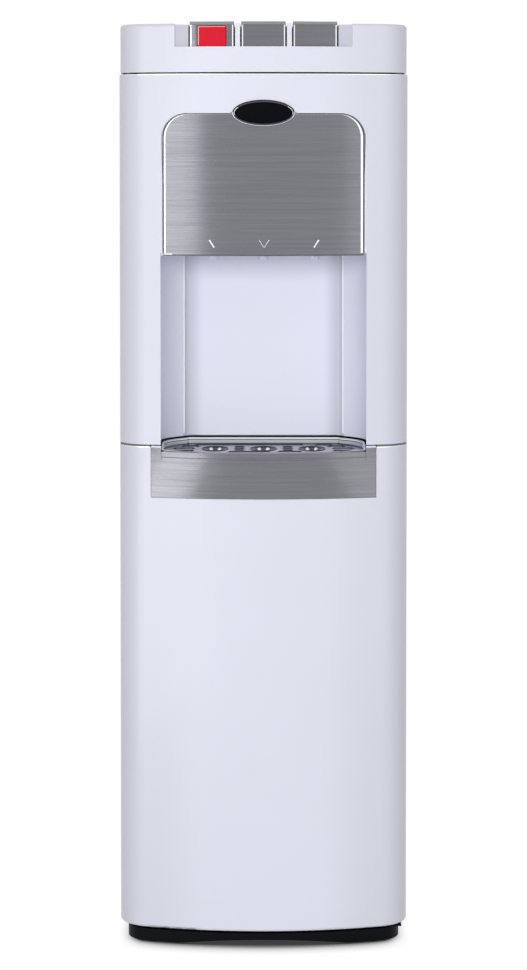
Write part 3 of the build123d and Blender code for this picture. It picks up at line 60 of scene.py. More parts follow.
class Tree:
    """Short names for the node calls that the materials use."""

    def __init__(self, holder):
        holder.use_nodes = True
        self.nodes = holder.node_tree.nodes
        self.links = holder.node_tree.links
        self.nodes.clear()

    def add(self, kind, **values):
        node = self.nodes.new(kind)
        for name, value in values.items():
            if hasattr(node, name):
                setattr(node, name, value)
            else:
                node.inputs[name.replace("_", " ")].default_value = value
        return node

    def link(self, source, target):
        self.links.new(source, target)

    def scaled(self, scale):
        """Object coordinates stretched along each axis."""
        place = self.add("ShaderNodeTexCoord")
        mapping = self.add("ShaderNodeMapping")
        mapping.inputs["Scale"].default_value = scale
        self.link(place.outputs["Object"], mapping.inputs["Vector"])
        return mapping.outputs["Vector"]

    def noise(self, scale, detail=3.0, rough=0.55, stretch=(1, 1, 1)):
        node = self.add("ShaderNodeTexNoise")
        node.inputs["Scale"].default_value = scale
        node.inputs["Detail"].default_value = detail
        node.inputs["Roughness"].default_value = rough
        self.link(self.scaled(stretch), node.inputs["Vector"])
        return node.outputs["Fac"]

    def span(self, source, low, high):
        """Maps the middle of a noise to low..high."""
        node = self.add("ShaderNodeMapRange")
        node.inputs["From Min"].default_value = NOISE_LOW
        node.inputs["From Max"].default_value = NOISE_HIGH
        node.inputs["To Min"].default_value = low
        node.inputs["To Max"].default_value = high
        self.link(source, node.inputs["Value"])
        return node.outputs["Result"]

    def two_colours(self, source, low, high):
        node = self.add("ShaderNodeValToRGB")
        node.color_ramp.elements[0].position = NOISE_LOW
        node.color_ramp.elements[1].position = NOISE_HIGH
        node.color_ramp.elements[0].color = (*low, 1)
        node.color_ramp.elements[1].color = (*high, 1)
        self.link(source, node.inputs["Fac"])
        return node.outputs["Color"]

    def across(self):
        """Distance from the middle plane."""
        place = self.add("ShaderNodeTexCoord")
        split = self.add("ShaderNodeSeparateXYZ")
        self.link(place.outputs["Object"], split.inputs[0])
        node = self.add("ShaderNodeMath", operation="ABSOLUTE")
        self.link(split.outputs["X"], node.inputs[0])
        return node.outputs[0]

    def fall(self, source, near, far, low, high=1.0):
        """High below near, low beyond far, smooth between."""
        node = self.add("ShaderNodeMapRange", interpolation_type="SMOOTHSTEP")
        node.inputs["From Min"].default_value = near
        node.inputs["From Max"].default_value = far
        node.inputs["To Min"].default_value = high
        node.inputs["To Max"].default_value = low
        self.link(source, node.inputs["Value"])
        return node.outputs["Result"]

    # Painted shade: multiplies a colour darker towards the sides, by distance from the middle plane.
    def paint_shade_to_the_sides(self, colour, near, far, low, high=1.0):
        node = self.add("ShaderNodeMix", data_type="RGBA", blend_type="MULTIPLY")
        node.inputs["Factor"].default_value = 1.0
        self.link(colour, node.inputs["A"])
        self.link(self.fall(self.across(), near, far, low, high), node.inputs["B"])
        return node.outputs["Result"]

    def link_max(self, first, second):
        node = self.add("ShaderNodeMath", operation="MAXIMUM")
        self.link(first, node.inputs[0])
        self.link(second, node.inputs[1])
        return node.outputs[0]

    def bump(self, source, distance):
        node = self.add("ShaderNodeBump")
        node.inputs["Strength"].default_value = 1.0
        node.inputs["Distance"].default_value = distance
        self.link(source, node.inputs["Height"])
        return node.outputs["Normal"]


def shade(colour, factor):
    return tuple(min(1.0, c * factor) for c in colour)


COAT_ROUGH = 0.08
BRUSH_TURN = 0.25             # a quarter turn of the highlight on brushed metal
LEAST_ROUGH = 0.02
FINE_DETAIL, FINE_ROUGH = 4.0, 0.6


def surface(name, colour, rough, vary=0.03, metallic=0.0, grain=400.0, depth=0.01, stretch=(1, 1, 1),
            vary_scale=6.0, coat=0.0, anisotropic=0.0, specular=0.5, rough_vary=0.05,
            transmission=0.0, corners=None):
    """One procedural finish: broad colour drift, fine grain in roughness and bump; corners, when given,
    paint shade into the colour by distance from the middle plane.
    """
    material = bpy.data.materials.new(name)
    tree = Tree(material)
    out = tree.add("ShaderNodeOutputMaterial")
    shader = tree.add("ShaderNodeBsdfPrincipled")
    shader.inputs["Metallic"].default_value = metallic
    shader.inputs["Coat Weight"].default_value = coat
    shader.inputs["Coat Roughness"].default_value = COAT_ROUGH
    shader.inputs["Specular IOR Level"].default_value = specular
    shader.inputs["Anisotropic"].default_value = anisotropic
    shader.inputs["Anisotropic Rotation"].default_value = BRUSH_TURN if anisotropic else 0.0
    shader.inputs["Transmission Weight"].default_value = transmission
    drift = tree.noise(vary_scale, stretch=stretch if anisotropic else (1, 1, 1))
    tint = tree.two_colours(drift, shade(colour, 1 - vary), shade(colour, 1 + vary))
    # corners paint shade into the base colour, darker towards the sides.
    if corners:
        tint = tree.paint_shade_to_the_sides(tint, *corners)
    tree.link(tint, shader.inputs["Base Color"])
    fine = tree.noise(grain, FINE_DETAIL, FINE_ROUGH, stretch)
    smoothest = max(LEAST_ROUGH, rough - rough_vary)
    tree.link(tree.span(fine, smoothest, rough + rough_vary), shader.inputs["Roughness"])
    tree.link(tree.bump(fine, depth * MM), shader.inputs["Normal"])
    if anisotropic:
        tangent = tree.add("ShaderNodeTangent", direction_type="RADIAL", axis="Z")
        tree.link(tangent.outputs["Tangent"], shader.inputs["Tangent"])
    tree.link(shader.outputs["BSDF"], out.inputs["Surface"])
    material.diffuse_color = (*colour, 1)
    return material


BRUSH = (0.02, 0.02, 1.0)     # grain drawn out along the horizontal
WHITE = (0.765, 0.782, 0.885)
STEEL = (0.205, 0.207, 0.228)


def brushed(name, colour, vary=0.09):
    """Steel with a fine horizontal grain."""
    return surface(name, colour, 0.26, vary, 1.0, 700, 0.004, BRUSH, vary_scale=420, anisotropic=0.8,
                   rough_vary=0.06)


MATERIALS = {
    # white_plastic: the corners ramp paints shade onto the body, darker towards its sides.
    "white_plastic": surface("white_plastic", WHITE, 0.34, 0.012, coat=0.15, depth=0.006, grain=900,
                             corners=(0.060, 0.125, 0.918)),
    "white_steel": surface("white_steel", WHITE, 0.38, 0.015, depth=0.02, grain=350),
    "silver_panel": brushed("silver_panel", STEEL),
    "silver_tray": brushed("silver_tray", shade(STEEL, 0.98), 0.08),
    "key_silver": brushed("key_silver", shade(STEEL, 0.97)),
    "grille_silver": surface("grille_silver", (0.52, 0.54, 0.60), 0.30, 0.03, 1.0, 500, 0.006),
    # White for the niche's crease beads; also the painted highlight on the basin's rim top.
    "rim_white": surface("rim_white", (0.86, 0.87, 0.91), 0.22, 0.015, 0.0, 500, 0.004, coat=0.3),
    "base_black": surface("base_black", (0.004, 0.0045, 0.006), 0.5, 0.10, depth=0.03, grain=600,
                          specular=0.06),
    # Painted shade: the body's white made darker for the recessed key cheeks.
    "chassis_white_shade_paint": surface("chassis_white_shade_paint", shade(WHITE, 0.76), 0.36, 0.012, depth=0.006, grain=900),
    # Painted light and painted shade: the niche's white made brighter, and darker in its rear corners.
    "niche_white_light_and_shade_paint": surface("niche_white_light_and_shade_paint", shade(WHITE, 1.05), 0.34, 0.012, coat=0.15, depth=0.006, grain=900,
                           corners=(0.0895, 0.0915, 1.0, 0.74)),
    # Painted light and painted shade: the back wall's white made brighter, and darker towards its rounded
    # sides.
    "niche_back": surface("niche_back", shade(WHITE, 1.06), 0.34, 0.012, depth=0.006, grain=900,
                          corners=(0.066, 0.086, 0.74)),
    "edge_white": surface("edge_white", WHITE, 0.34, 0.012, depth=0.004, grain=900),
    # Painted shade: grey for the sheet inside each seam.
    "seam_shade_paint": surface("seam_shade_paint", (0.16, 0.162, 0.175), 0.6, 0.04, depth=0.004),
    # Painted shade: near black for lines laid where grooves, gaps and rims are shaded.
    "shade_paint_dark": surface("shade_paint_dark", (0.055, 0.058, 0.068), 0.5, 0.05, depth=0.004),
    # Painted shade: grey for lines laid where key edges and the basin's lip are shaded.
    "shade_paint_grey": surface("shade_paint_grey", (0.16, 0.165, 0.18), 0.5, 0.05, depth=0.004),
    # Painted highlight: near-white metal for lines and studs laid where edges catch light.
    "highlight_paint_white": surface("highlight_paint_white", (0.97, 0.975, 0.985), 0.30, 0.01, 1.0, depth=0.004),
    # Painted reflection: a softer bright line on the badge's rim.
    "highlight_paint_soft": surface("highlight_paint_soft", (0.70, 0.71, 0.76), 0.35, 0.01, 1.0, depth=0.004),
    "mark_paint": surface("mark_paint", (0.95, 0.95, 0.96), 0.45, 0.01, depth=0.004),
    # Painted light: lighter metal for the band under each key's top edge.
    "cap_light_paint": surface("cap_light_paint", (0.30, 0.305, 0.33), 0.3, 0.04, 1.0, 500, 0.004),
    # Badge face's own black; also used for the painted dark reflections on the badge's rim.
    "badge_black": surface("badge_black", (0.003, 0.0035, 0.005), 0.30, 0.10, depth=0.003, specular=0.03),
    "badge_steel": surface("badge_steel", (0.085, 0.088, 0.10), 0.24, 0.05, 1.0, 400, 0.004),
    # Painted highlight: pale red for the lock's lit edges.
    "lock_highlight_paint": surface("lock_highlight_paint", (0.86, 0.42, 0.40), 0.4, 0.02, depth=0.004),
    "rim_foot": surface("rim_foot", (0.50, 0.51, 0.56), 0.35, 0.03, depth=0.004),
    # Painted shade: dark metal for the bowls of the grille's wells.
    "well_shade_paint": surface("well_shade_paint", (0.045, 0.047, 0.056), 0.16, 0.05, 1.0, 300, 0.004),
    "bright_trim": surface("bright_trim", (0.30, 0.305, 0.33), 0.2, 0.03, 1.0, 300, 0.004),
    "grey_plastic": surface("grey_plastic", (0.50, 0.51, 0.56), 0.42, 0.03, depth=0.02, grain=700),
    "black_plastic": surface("black_plastic", (0.006, 0.0065, 0.008), 0.42, 0.10, depth=0.04, grain=600),
    "black_gloss": surface("black_gloss", (0.004, 0.004, 0.005), 0.12, 0.10, coat=0.6, depth=0.003),
    "red_plastic": surface("red_plastic", (0.70, 0.006, 0.026), 0.45, 0.05, specular=0.2, depth=0.006),
    "clear_lens": surface("clear_lens", (0.85, 0.88, 0.92), 0.35, 0.02, transmission=0.5, depth=0.01),
    "black_rubber": surface("black_rubber", (0.015, 0.015, 0.016), 0.75, 0.12, depth=0.06, grain=500),
    "zinc_steel": surface("zinc_steel", (0.62, 0.62, 0.59), 0.34, 0.10, 1.0, 220, 0.02, vary_scale=60),
    "stainless": surface("stainless", (0.58, 0.59, 0.61), 0.26, 0.05, 1.0, 900, 0.004, (1, 1, 0.02)),
    "galvanised": surface("galvanised", (0.50, 0.52, 0.54), 0.42, 0.16, 0.9, 90, 0.02, vary_scale=45),
    "copper": surface("copper", (0.72, 0.33, 0.18), 0.30, 0.12, 1.0, 300, 0.01, vary_scale=40),
    "black_enamel": surface("black_enamel", (0.012, 0.012, 0.013), 0.26, 0.12, coat=0.5, depth=0.02,
                            grain=250),
    "foam": surface("foam", (0.80, 0.79, 0.74), 0.85, 0.05, depth=0.35, grain=450, vary_scale=25),
    "silicone": surface("silicone", (0.72, 0.76, 0.78), 0.35, 0.03, transmission=0.3, depth=0.01),
    "nylon": surface("nylon", (0.74, 0.72, 0.64), 0.45, 0.04, depth=0.02),
}

BEVELS = {
    "white_plastic": 0.9, "white_steel": 0.5, "silver_panel": 0.35, "silver_tray": 0.6,
    "key_silver": 0.5, "black_plastic": 0.5, "red_plastic": 0.7, "bright_trim": 0.4,
    "grey_plastic": 0.5, "black_rubber": 0.4,
}
PLAIN = {"condenser", "evaporator_coil", "water_hoses", "badge_face"}
SHELLS = {"rear_panel", "front_fascia", "door_shell", "top_lid"}      # these keep their own normals
WELD_REACH = 0.01
BEVEL_SEGMENTS = 2
BEVEL_ANGLE = math.radians(32)
LOOKS = {"badge_face": "badge_black", "badge_rim": "badge_steel", "drip_grille": "grille_silver",
         "hinge_plates": "base_black", "base": "base_black", "base_feet": "base_black",
         "key_chassis": "chassis_white_shade_paint", "niche_liner": "niche_white_light_and_shade_paint", "niche_back": "niche_back",
         "spouts": "white_plastic"}


def finish_node(node, obj):
    """Gives a CAD node its finish, small edge radii and smooth curved faces."""
    slot = SLOTS[node]
    look = MATERIALS[LOOKS.get(node, slot)]
    for held in obj.material_slots:
        held.material = look
    if not obj.material_slots:
        obj.data.materials.append(look)
    if node in SHELLS:
        return
    weld = obj.modifiers.new("weld", "WELD")
    weld.merge_threshold = WELD_REACH * MM
    width = BEVELS.get(slot, 0.0)
    if width and node not in PLAIN:
        bevel = obj.modifiers.new("edge", "BEVEL")
        bevel.width = width * MM
        bevel.segments = BEVEL_SEGMENTS
        bevel.limit_method = "ANGLE"
        bevel.angle_limit = BEVEL_ANGLE
        bevel.use_clamp_overlap = True
        bevel.harden_normals = False
    normals = obj.modifiers.new("normals", "WEIGHTED_NORMAL")
    normals.keep_sharp = True


for node, obj in NODES.items():
    finish_node(node, obj)


# ---------------------------------------------------------------- pieces laid on the fronts
class Skin:
    """The front of a CAD piece, found by looking along the depth."""

    def __init__(self, *nodes):
        mesh = bmesh.new()
        for node in nodes:
            obj = NODES[node]
            part = obj.data.copy()
            part.transform(obj.matrix_world)
            mesh.from_mesh(part)
        self.tree = BVHTree.FromBMesh(mesh)
        mesh.free()

    def depth(self, x, z):
        """Depth of the surface behind x, z; both in metres."""
        hit = self.tree.ray_cast(Vector((x, -1.0, z)), Vector((0, 1, 0)))[0]
        return hit.y if hit else None


def resample(path, step):
    """Points along a polyline no further apart than step."""
    points = [path[0]]
    for start, end in zip(path, path[1:]):
        length = math.dist(start, end)
        count = max(1, math.ceil(length / step))
        for i in range(1, count + 1):
            points.append(tuple(a + (b - a) * i / count for a, b in zip(start, end)))
    return points


def offset_edges(points, left, right):
    """Both edges of a band along the points, left and right of the way it runs."""
    lefts, rights = [], []
    for i, point in enumerate(points):
        before = points[max(i - 1, 0)]
        after = points[min(i + 1, len(points) - 1)]
        run = Vector((after[0] - before[0], after[1] - before[1])).normalized()
        side = Vector((-run.y, run.x))
        share = i / (len(points) - 1)
        lefts.append(Vector(point[:2]) + side * left(share))
        rights.append(Vector(point[:2]) - side * right(share))
    return lefts, rights


def flat(width):
    return lambda share: width


def drape(name, body, skin, path, left, right, lift, look, sink=0.4, step=3.0, probe=0.0):
    """A thin band that follows a path over the front; sizes in millimetres."""
    points = resample(path, step)
    edges = offset_edges(points, left, right)
    bm = bmesh.new()
    rows = []
    for pair in zip(*edges):
        depths = [skin.depth(p.x * MM, (p.y + probe) * MM) for p in pair]
        known = [d for d in depths if d is not None]
        if not known:
            continue
        depths = [d if d is not None else known[0] for d in depths]
        row = []
        for inward in (-lift, sink):
            for p, d in zip(pair, depths):
                row.append(bm.verts.new((p.x * MM, d + inward * MM, p.y * MM)))
        rows.append(row)
    for a, b in zip(rows, rows[1:]):
        for i, j in ((0, 1), (1, 3), (3, 2), (2, 0)):
            bm.faces.new((a[i], a[j], b[j], b[i]))
    for row in (rows[0], rows[-1]):
        bm.faces.new((row[0], row[1], row[3], row[2]))
    bmesh.ops.recalc_face_normals(bm, faces=bm.faces)
    return add_piece(name, body, bm, look)


def add_piece(name, body, bm, look, smooth=False):
    mesh = bpy.data.meshes.new(name)
    bm.to_mesh(mesh)
    bm.free()
    if smooth:
        mesh.shade_smooth()
    mesh.materials.append(MATERIALS[look])
    obj = bpy.data.objects.new(name, mesh)
    bpy.context.scene.collection.objects.link(obj)
    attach(obj, body)
    return obj


def limits(node):
    """Low and high corners of a piece in millimetres."""
    low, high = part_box(node)
    return low / MM, high / MM


def corner_arc(cx, cz, radius, start, end, count=14):
    """Points round a corner, angles in degrees from +X towards +Z."""
    return [(cx + radius * math.cos(math.radians(start + (end - start) * i / count)),
             cz + radius * math.sin(math.radians(start + (end - start) * i / count)))
            for i in range(count + 1)]


PANEL_LOW, PANEL_HIGH = limits("panel_trim")
PANEL_HALF = PANEL_HIGH.x
PANEL_FOOT, PANEL_TOP = PANEL_LOW.z, PANEL_HIGH.z
PANEL_CORNER = 28.0
EDGE_BAND = 1.7               # white edge of the fascia beside the panel
EDGE_TOP = 0.5                # and over it
EDGE_LAP = 0.6                # edge under the fascia
# painted shade: the groove drawn as a dark line
GROOVE = 1.8                  # dark line inside it
# widths of the painted highlights on the left and right bevels
BRIGHT_LEFT, BRIGHT_RIGHT = 1.4, 2.4
TRIM_LIFT = 0.5
EDGE_RAISE, GROOVE_DROP, BRIGHT_DROP = 0.35, 0.15, 0.2        # from the trim's lift
TOP_SHARE, TOP_RATE = 5, 14   # how the white edge thins towards the top
# the bevels' painted highlights fade in at this rate
FADE_RATE = 5                 # how fast a bright bevel fades in
BRIGHT_GAP = 2                # degrees short of the top
# foot of the panel: a painted shadow line under it and a short painted highlight over it
FOOT_RISE, FOOT_HALF, FOOT_LAP, FOOT_LIFT = 0.6, 0.55, 0.5, 0.1
FOOT_BRIGHT_RISE, FOOT_BRIGHT_LONG, FOOT_BRIGHT_HALF = 0.9, 9, 0.25


def arch_path(inset, inset_top):
    """The panel's outline drawn in by inset, from its left foot over the top."""
    half, top = PANEL_HALF - inset, PANEL_TOP - inset_top
    radius = PANEL_CORNER - inset
    left = corner_arc(-(half - radius), top - radius, radius, 180, 90)
    right = corner_arc(half - radius, top - radius, radius, 90, 0)
    return [(-half, PANEL_FOOT), *left, *right, (half, PANEL_FOOT)]


def edge_width(share):
    """Width of the white edge: broad down the sides, thin over the top."""
    over_top = min(1.0, max(0.0, TOP_SHARE - abs(share - 0.5) * TOP_RATE))
    return EDGE_LAP + EDGE_BAND + (EDGE_TOP - EDGE_BAND) * over_top


def fade_in(share):
    """Full at the start of a line, nothing at its end."""
    return min(1.0, (1 - share) * FADE_RATE)


def make_panel_trim():
    """White edge round the spout panel, painted shade as a dark groove inside it, painted highlights on the
    bevels, and a painted shadow line with a short painted highlight at its foot.
    """
    skin = Skin("spout_panel", "panel_trim")
    nothing = flat(0.0)
    drape("trim_edge", "cabinet", skin, arch_path(-EDGE_LAP, -EDGE_LAP), nothing, edge_width,
          TRIM_LIFT + EDGE_RAISE, "edge_white")
    drape("trim_groove_shade_paint", "cabinet", skin, arch_path(EDGE_BAND, EDGE_TOP), nothing, flat(GROOVE),
          TRIM_LIFT - GROOVE_DROP, "shade_paint_dark")
    inset = EDGE_BAND + GROOVE
    half, top = PANEL_HALF - inset, PANEL_TOP - EDGE_TOP - GROOVE
    radius = PANEL_CORNER - inset
    corner = half - radius
    left = [(-half, PANEL_FOOT), *corner_arc(-corner, top - radius, radius, 180, 90 + BRIGHT_GAP)]
    right = [*corner_arc(corner, top - radius, radius, 90 - BRIGHT_GAP, 0), (half, PANEL_FOOT)]
    drape("trim_highlight_left", "cabinet", skin, left, nothing, lambda s: BRIGHT_LEFT * fade_in(s),
          TRIM_LIFT - BRIGHT_DROP, "highlight_paint_white")
    drape("trim_highlight_right", "cabinet", skin, right, nothing, lambda s: BRIGHT_RIGHT * fade_in(1 - s),
          TRIM_LIFT - BRIGHT_DROP, "highlight_paint_white")
    panel = Skin("spout_panel")
    foot = PANEL_FOOT + FOOT_RISE
    width = flat(FOOT_HALF)
    drape("trim_foot", "cabinet", panel, [(-half - FOOT_LAP, foot), (half + FOOT_LAP, foot)], width, width,
          FOOT_LIFT, "shade_paint_dark")
    line, width = foot + FOOT_BRIGHT_RISE, flat(FOOT_BRIGHT_HALF)
    drape("trim_foot_highlight", "cabinet", panel, [(-half, line), (-half + FOOT_BRIGHT_LONG, line)], width,
          width, FOOT_LIFT, "highlight_paint_white")


MARK_X = 57.3                 # outer marks, over the outer spouts
MARK_TOP, MARK_FOOT = 782.9, 774.6
MARK_SHIFT = 0.6
MARK_LEAN = 5.4
MARK_BROAD, MARK_THIN = 1.5, 0.7
CHEVRON_HALF = 5.4
MARK_LIFT, MARK_STEP = 0.15, 12.0


def make_marks():
    """Painted strokes over the spouts."""
    skin = Skin("spout_panel")
    broad, thin = flat(MARK_BROAD / 2), flat(MARK_THIN / 2)
    for side in (-1, 1):
        outer = side * (MARK_X + MARK_LEAN / 2) + MARK_SHIFT
        inner = side * (MARK_X - MARK_LEAN / 2) + MARK_SHIFT
        drape("mark_hot" if side < 0 else "mark_cold", "cabinet", skin,
              [(outer, MARK_TOP), (inner, MARK_FOOT)], broad, broad, MARK_LIFT, "mark_paint")
    left, right = MARK_SHIFT - CHEVRON_HALF, MARK_SHIFT + CHEVRON_HALF
    drape("mark_room", "cabinet", skin, [(left, MARK_TOP), (MARK_SHIFT, MARK_FOOT), (right, MARK_TOP)],
          thin, thin, MARK_LIFT, "mark_paint", step=MARK_STEP)


KEY_BODIES = {"key_hot": "hot_key", "key_room": "room_key", "key_cold": "cold_key"}
# widths of the painted highlight and painted shade lines down each key's sides
KEY_HIGHLIGHT_PAINT, KEY_SHADE_PAINT = 1.1, 0.5
KEY_SIDE_GAP = 0.9
# painted light on each key's top chamfer, drawn as a pale band
CAP_BAND = 2.3                # pale band under each key's top edge
CAP_DROP, CAP_INSET, CAP_LIFT, CAP_PROBE = 0.7, 0.4, 0.1, -0.9
CAP_LINE_DROP, CAP_LINE_HALF = 1.0, 0.35
KEY_FOOT, KEY_HEAD = 0.6, 1.4         # ends of the side lines
KEY_LIFT = 0.12


def make_key_edges():
    """Painted highlights and painted shade lines down both sides of each key's front, with a painted light
    band and a painted shade line under its top edge.
    """
    cap_half, line_half = flat(CAP_BAND / 2), flat(CAP_LINE_HALF)
    white_half, dark_half = flat(KEY_HIGHLIGHT_PAINT / 2), flat(KEY_SHADE_PAINT / 2)
    for node, body in KEY_BODIES.items():
        low, high = limits(node)
        skin = Skin(node)
        x0, x1 = low.x + CAP_INSET, high.x - CAP_INSET
        band = high.z - CAP_DROP - CAP_BAND / 2
        drape(node + "_cap", body, skin, [(x0, band), (x1, band)], cap_half, cap_half, CAP_LIFT, "cap_light_paint",
              probe=CAP_PROBE)
        line = high.z - CAP_LINE_DROP - CAP_BAND
        drape(node + "_cap_line", body, skin, [(x0, line), (x1, line)], line_half, line_half, KEY_LIFT,
              "shade_paint_grey")
        foot, top = low.z + KEY_FOOT, high.z - CAP_BAND - KEY_HEAD
        for side, edge in ((1, low.x + KEY_SIDE_GAP), (-1, high.x - KEY_SIDE_GAP)):
            name = node + ("_left" if side > 0 else "_right")
            bright = edge + side * KEY_HIGHLIGHT_PAINT / 2
            drape(name + "_bright", body, skin, [(bright, foot), (bright, top)], white_half, white_half,
                  KEY_LIFT, "highlight_paint_white")
            dark = edge + side * (KEY_HIGHLIGHT_PAINT + KEY_SHADE_PAINT / 2)
            drape(name + "_dark", body, skin, [(dark, foot), (dark, top)], dark_half, dark_half,
                  KEY_LIFT, "shade_paint_grey")


LOCK_FLANGE = 2.8             # hidden rim of the lock
LOCK_FOOT, LOCK_LIFT = 0.5, 0.3
LOCK_LEFT_HALF, LOCK_TOP_HALF = 0.55, 0.35


def make_lock_edges():
    """Painted highlights on the lock's left and top edges."""
    low, high = limits("child_lock")
    skin = Skin("child_lock")
    left = low.x + LOCK_FLANGE
    top = high.z - LOCK_FLANGE / 2
    upright, level = flat(LOCK_LEFT_HALF), flat(LOCK_TOP_HALF)
    drape("lock_edge_left", "lock", skin, [(left, low.z + LOCK_FOOT), (left, top)], upright, upright,
          LOCK_LIFT, "lock_highlight_paint")
    drape("lock_edge_top", "lock", skin, [(left, top), (high.x - LOCK_FLANGE, top)], level, level,
          LOCK_LIFT, "lock_highlight_paint")


FRONT_HALF = 158.5            # how far a front line runs to each side
# painted seam shade: its sheet sits this far behind the face
SEAM_DEEP = 1.1               # grey of a seam behind the face
SEAM_PLAY, SEAM_BODY, SEAM_PROBE = 0.1, 0.6, 2
NICHE_GAP = 8                 # from the niche to where the middle seam starts
# painted highlight along the edge under each seam: height and lift
EDGE_LINE, EDGE_LINE_LIFT = 0.9, 0.08


def make_seams():
    """Painted shade as a grey sheet inside both seams, and a painted highlight along the bright edge under
    each.
    """
    for name, node, body in (("lid", "front_fascia", "cabinet"), ("mid", "door_shell", "door")):
        high = limits(node)[1]
        skin = Skin(node)
        above = limits("top_lid")[0].z if name == "lid" else limits("front_fascia")[0].z
        middle = (high.z + above) / 2
        half = flat((above - high.z) / 2 - SEAM_PLAY)
        spans = [(-FRONT_HALF, FRONT_HALF)]
        if name == "mid":
            edge = limits("niche_liner")[1].x
            spans = [(-FRONT_HALF, -edge - NICHE_GAP), (edge + NICHE_GAP, FRONT_HALF)]
        for i, (x0, x1) in enumerate(spans):
            drape(f"seam_{name}_{i}", body, skin, [(x0, middle), (x1, middle)], half, half, -SEAM_DEEP,
                  "seam_shade_paint", sink=SEAM_DEEP + SEAM_BODY,
                  probe=high.z - middle - SEAM_PROBE)
            line = high.z - EDGE_LINE / 2
            drape(f"seam_{name}_edge_{i}", body, skin, [(x0, line), (x1, line)], flat(EDGE_LINE / 2),
                  flat(EDGE_LINE / 2), EDGE_LINE_LIFT, "highlight_paint_white", probe=-SEAM_PROBE)


CREASE_X = 89.9
CREASE_DEEP = 105.2           # behind the door's front
CREASE_R, CREASE_SIDES = 1.3, 12
CREASE_FOOT, CREASE_HEAD = 3, 4


def make_creases():
    """Bright bead down both rear corners of the niche."""
    low, high = limits("niche_back")
    deep = limits("door_shell")[0].y + CREASE_DEEP
    for side in (-1, 1):
        ring = ellipse(side * CREASE_X, deep, CREASE_R, CREASE_R, CREASE_SIDES)
        bm = bmesh.new()
        add_prism(bm, [(x * MM, y * MM) for x, y in ring], (low.z + CREASE_FOOT) * MM,
                  (high.z - CREASE_HEAD) * MM)
        add_piece("crease_left" if side < 0 else "crease_right", "cabinet", bm, "rim_white")


LIP_DROP, LIP_CAD_DROP = 12.4, 15.1   # foot of the basin's lip as shown, and as solid
LIP_END, LIP_HALF, LIP_LIFT, LIP_PROBE = 0.4, 0.4, 0.12, 0.8
COVER_END, COVER_HALF, COVER_LIFT, COVER_SINK, COVER_PROBE = 0.2, 0.9, 0.05, 0.3, 1.4


def make_lip_line():
    """Painted shadow as a thin dark line where the basin's lip hangs over the holder, and a band of tray
    silver over the solid's lip foot.
    """
    high = limits("drip_basin")[1]
    skin = Skin("drip_basin", "tray_holder")
    foot, half = high.z - LIP_DROP, flat(LIP_HALF)
    drape("lip_line", "basin", skin, [(LIP_END - high.x, foot), (high.x - LIP_END, foot)], half, half,
          LIP_LIFT, "shade_paint_grey", probe=LIP_PROBE)
    foot, half = high.z - LIP_CAD_DROP, flat(COVER_HALF)
    drape("lip_cover", "basin", skin, [(COVER_END - high.x, foot), (high.x - COVER_END, foot)], half, half,
          COVER_LIFT, "silver_tray", sink=COVER_SINK, probe=COVER_PROBE)


WING_GAP_LOW, WING_GAP_HIGH = 553.5, 555.6
WING_CLEAR, WING_INSET = 0.6, 0.1
WING_BACK, WING_DEEP, WING_PROBE = 0.6, 4.0, 1.2


def make_wing_caps():
    """White end of the door above each upper corner of the tray."""
    skin = Skin("tray_holder")
    high = limits("tray_holder")[1]
    inner = limits("drip_basin")[1].x + WING_CLEAR
    middle = (WING_GAP_LOW + WING_GAP_HIGH) / 2
    half = flat((WING_GAP_HIGH - WING_GAP_LOW) / 2)
    for side in (-1, 1):
        drape("wing_cap_left" if side < 0 else "wing_cap_right", "door", skin,
              [(side * inner, middle), (side * (high.x - WING_INSET), middle)], half, half, -WING_BACK,
              "edge_white", sink=WING_DEEP, probe=high.z - middle - WING_PROBE)


# painted highlight on the rim's top (RIM_WHITE) and painted shade under it (RIM_LINE)
RIM_WHITE = 1.9               # white top of the basin's raised rim
RIM_LINE = 0.8                # dark line under it
RIM_COAT = 0.12
RIM_SEAT = 1.1                # coat starts this far above the grille
FACES_UP, STANDS_UP = 0.5, 0.3        # height of a normal: above the one, within the other
FOLD = 0.6                    # edges sharper than this part the coat, radians


def make_rim_coat():
    """Painted highlight as a white top, painted shade as a dark line, and a pale foot on the inside of the
    basin's raised rim.
    """
    low, high = limits("drip_basin")
    seat = limits("drip_grille")[1].z + RIM_SEAT
    basin = NODES["drip_basin"]
    part = basin.data.copy()
    part.transform(basin.matrix_world)
    bm = bmesh.new()
    bm.from_mesh(part)
    middle = Vector((0, (low.y + high.y) / 2 * MM, 0))
    bm.normal_update()

    for z in (seat, high.z - RIM_WHITE, high.z - RIM_WHITE - RIM_LINE):
        parts = bm.verts[:] + bm.edges[:] + bm.faces[:]
        bmesh.ops.bisect_plane(bm, geom=parts, plane_co=(0, 0, z * MM), plane_no=(0, 0, 1))

    def kept(face):
        centre = face.calc_center_median()
        if centre.z < seat * MM:
            return False
        if face.normal.z > FACES_UP:
            return True
        outward = Vector((centre.x, centre.y, 0)) - middle
        return abs(face.normal.z) < STANDS_UP and face.normal.dot(outward) < 0

    gone = [face for face in bm.faces if not kept(face)]
    bmesh.ops.delete(bm, geom=gone, context="FACES")
    folds = [edge for edge in bm.edges if not edge.is_boundary and edge.calc_face_angle(0) > FOLD]
    bmesh.ops.split_edges(bm, edges=folds)
    bm.normal_update()
    for face in bm.faces:
        z = face.calc_center_median().z / MM
        upper = z > high.z - RIM_WHITE or face.normal.z > FACES_UP
        lined = z > high.z - RIM_WHITE - RIM_LINE
        face.material_index = 0 if upper else 1 if lined else 2
    for vert in bm.verts:
        vert.co += vert.normal * RIM_COAT * MM
    obj = add_piece("basin_rim_coat", "basin", bm, "rim_white")
    obj.data.materials.append(MATERIALS["shade_paint_dark"])
    obj.data.materials.append(MATERIALS["rim_foot"])


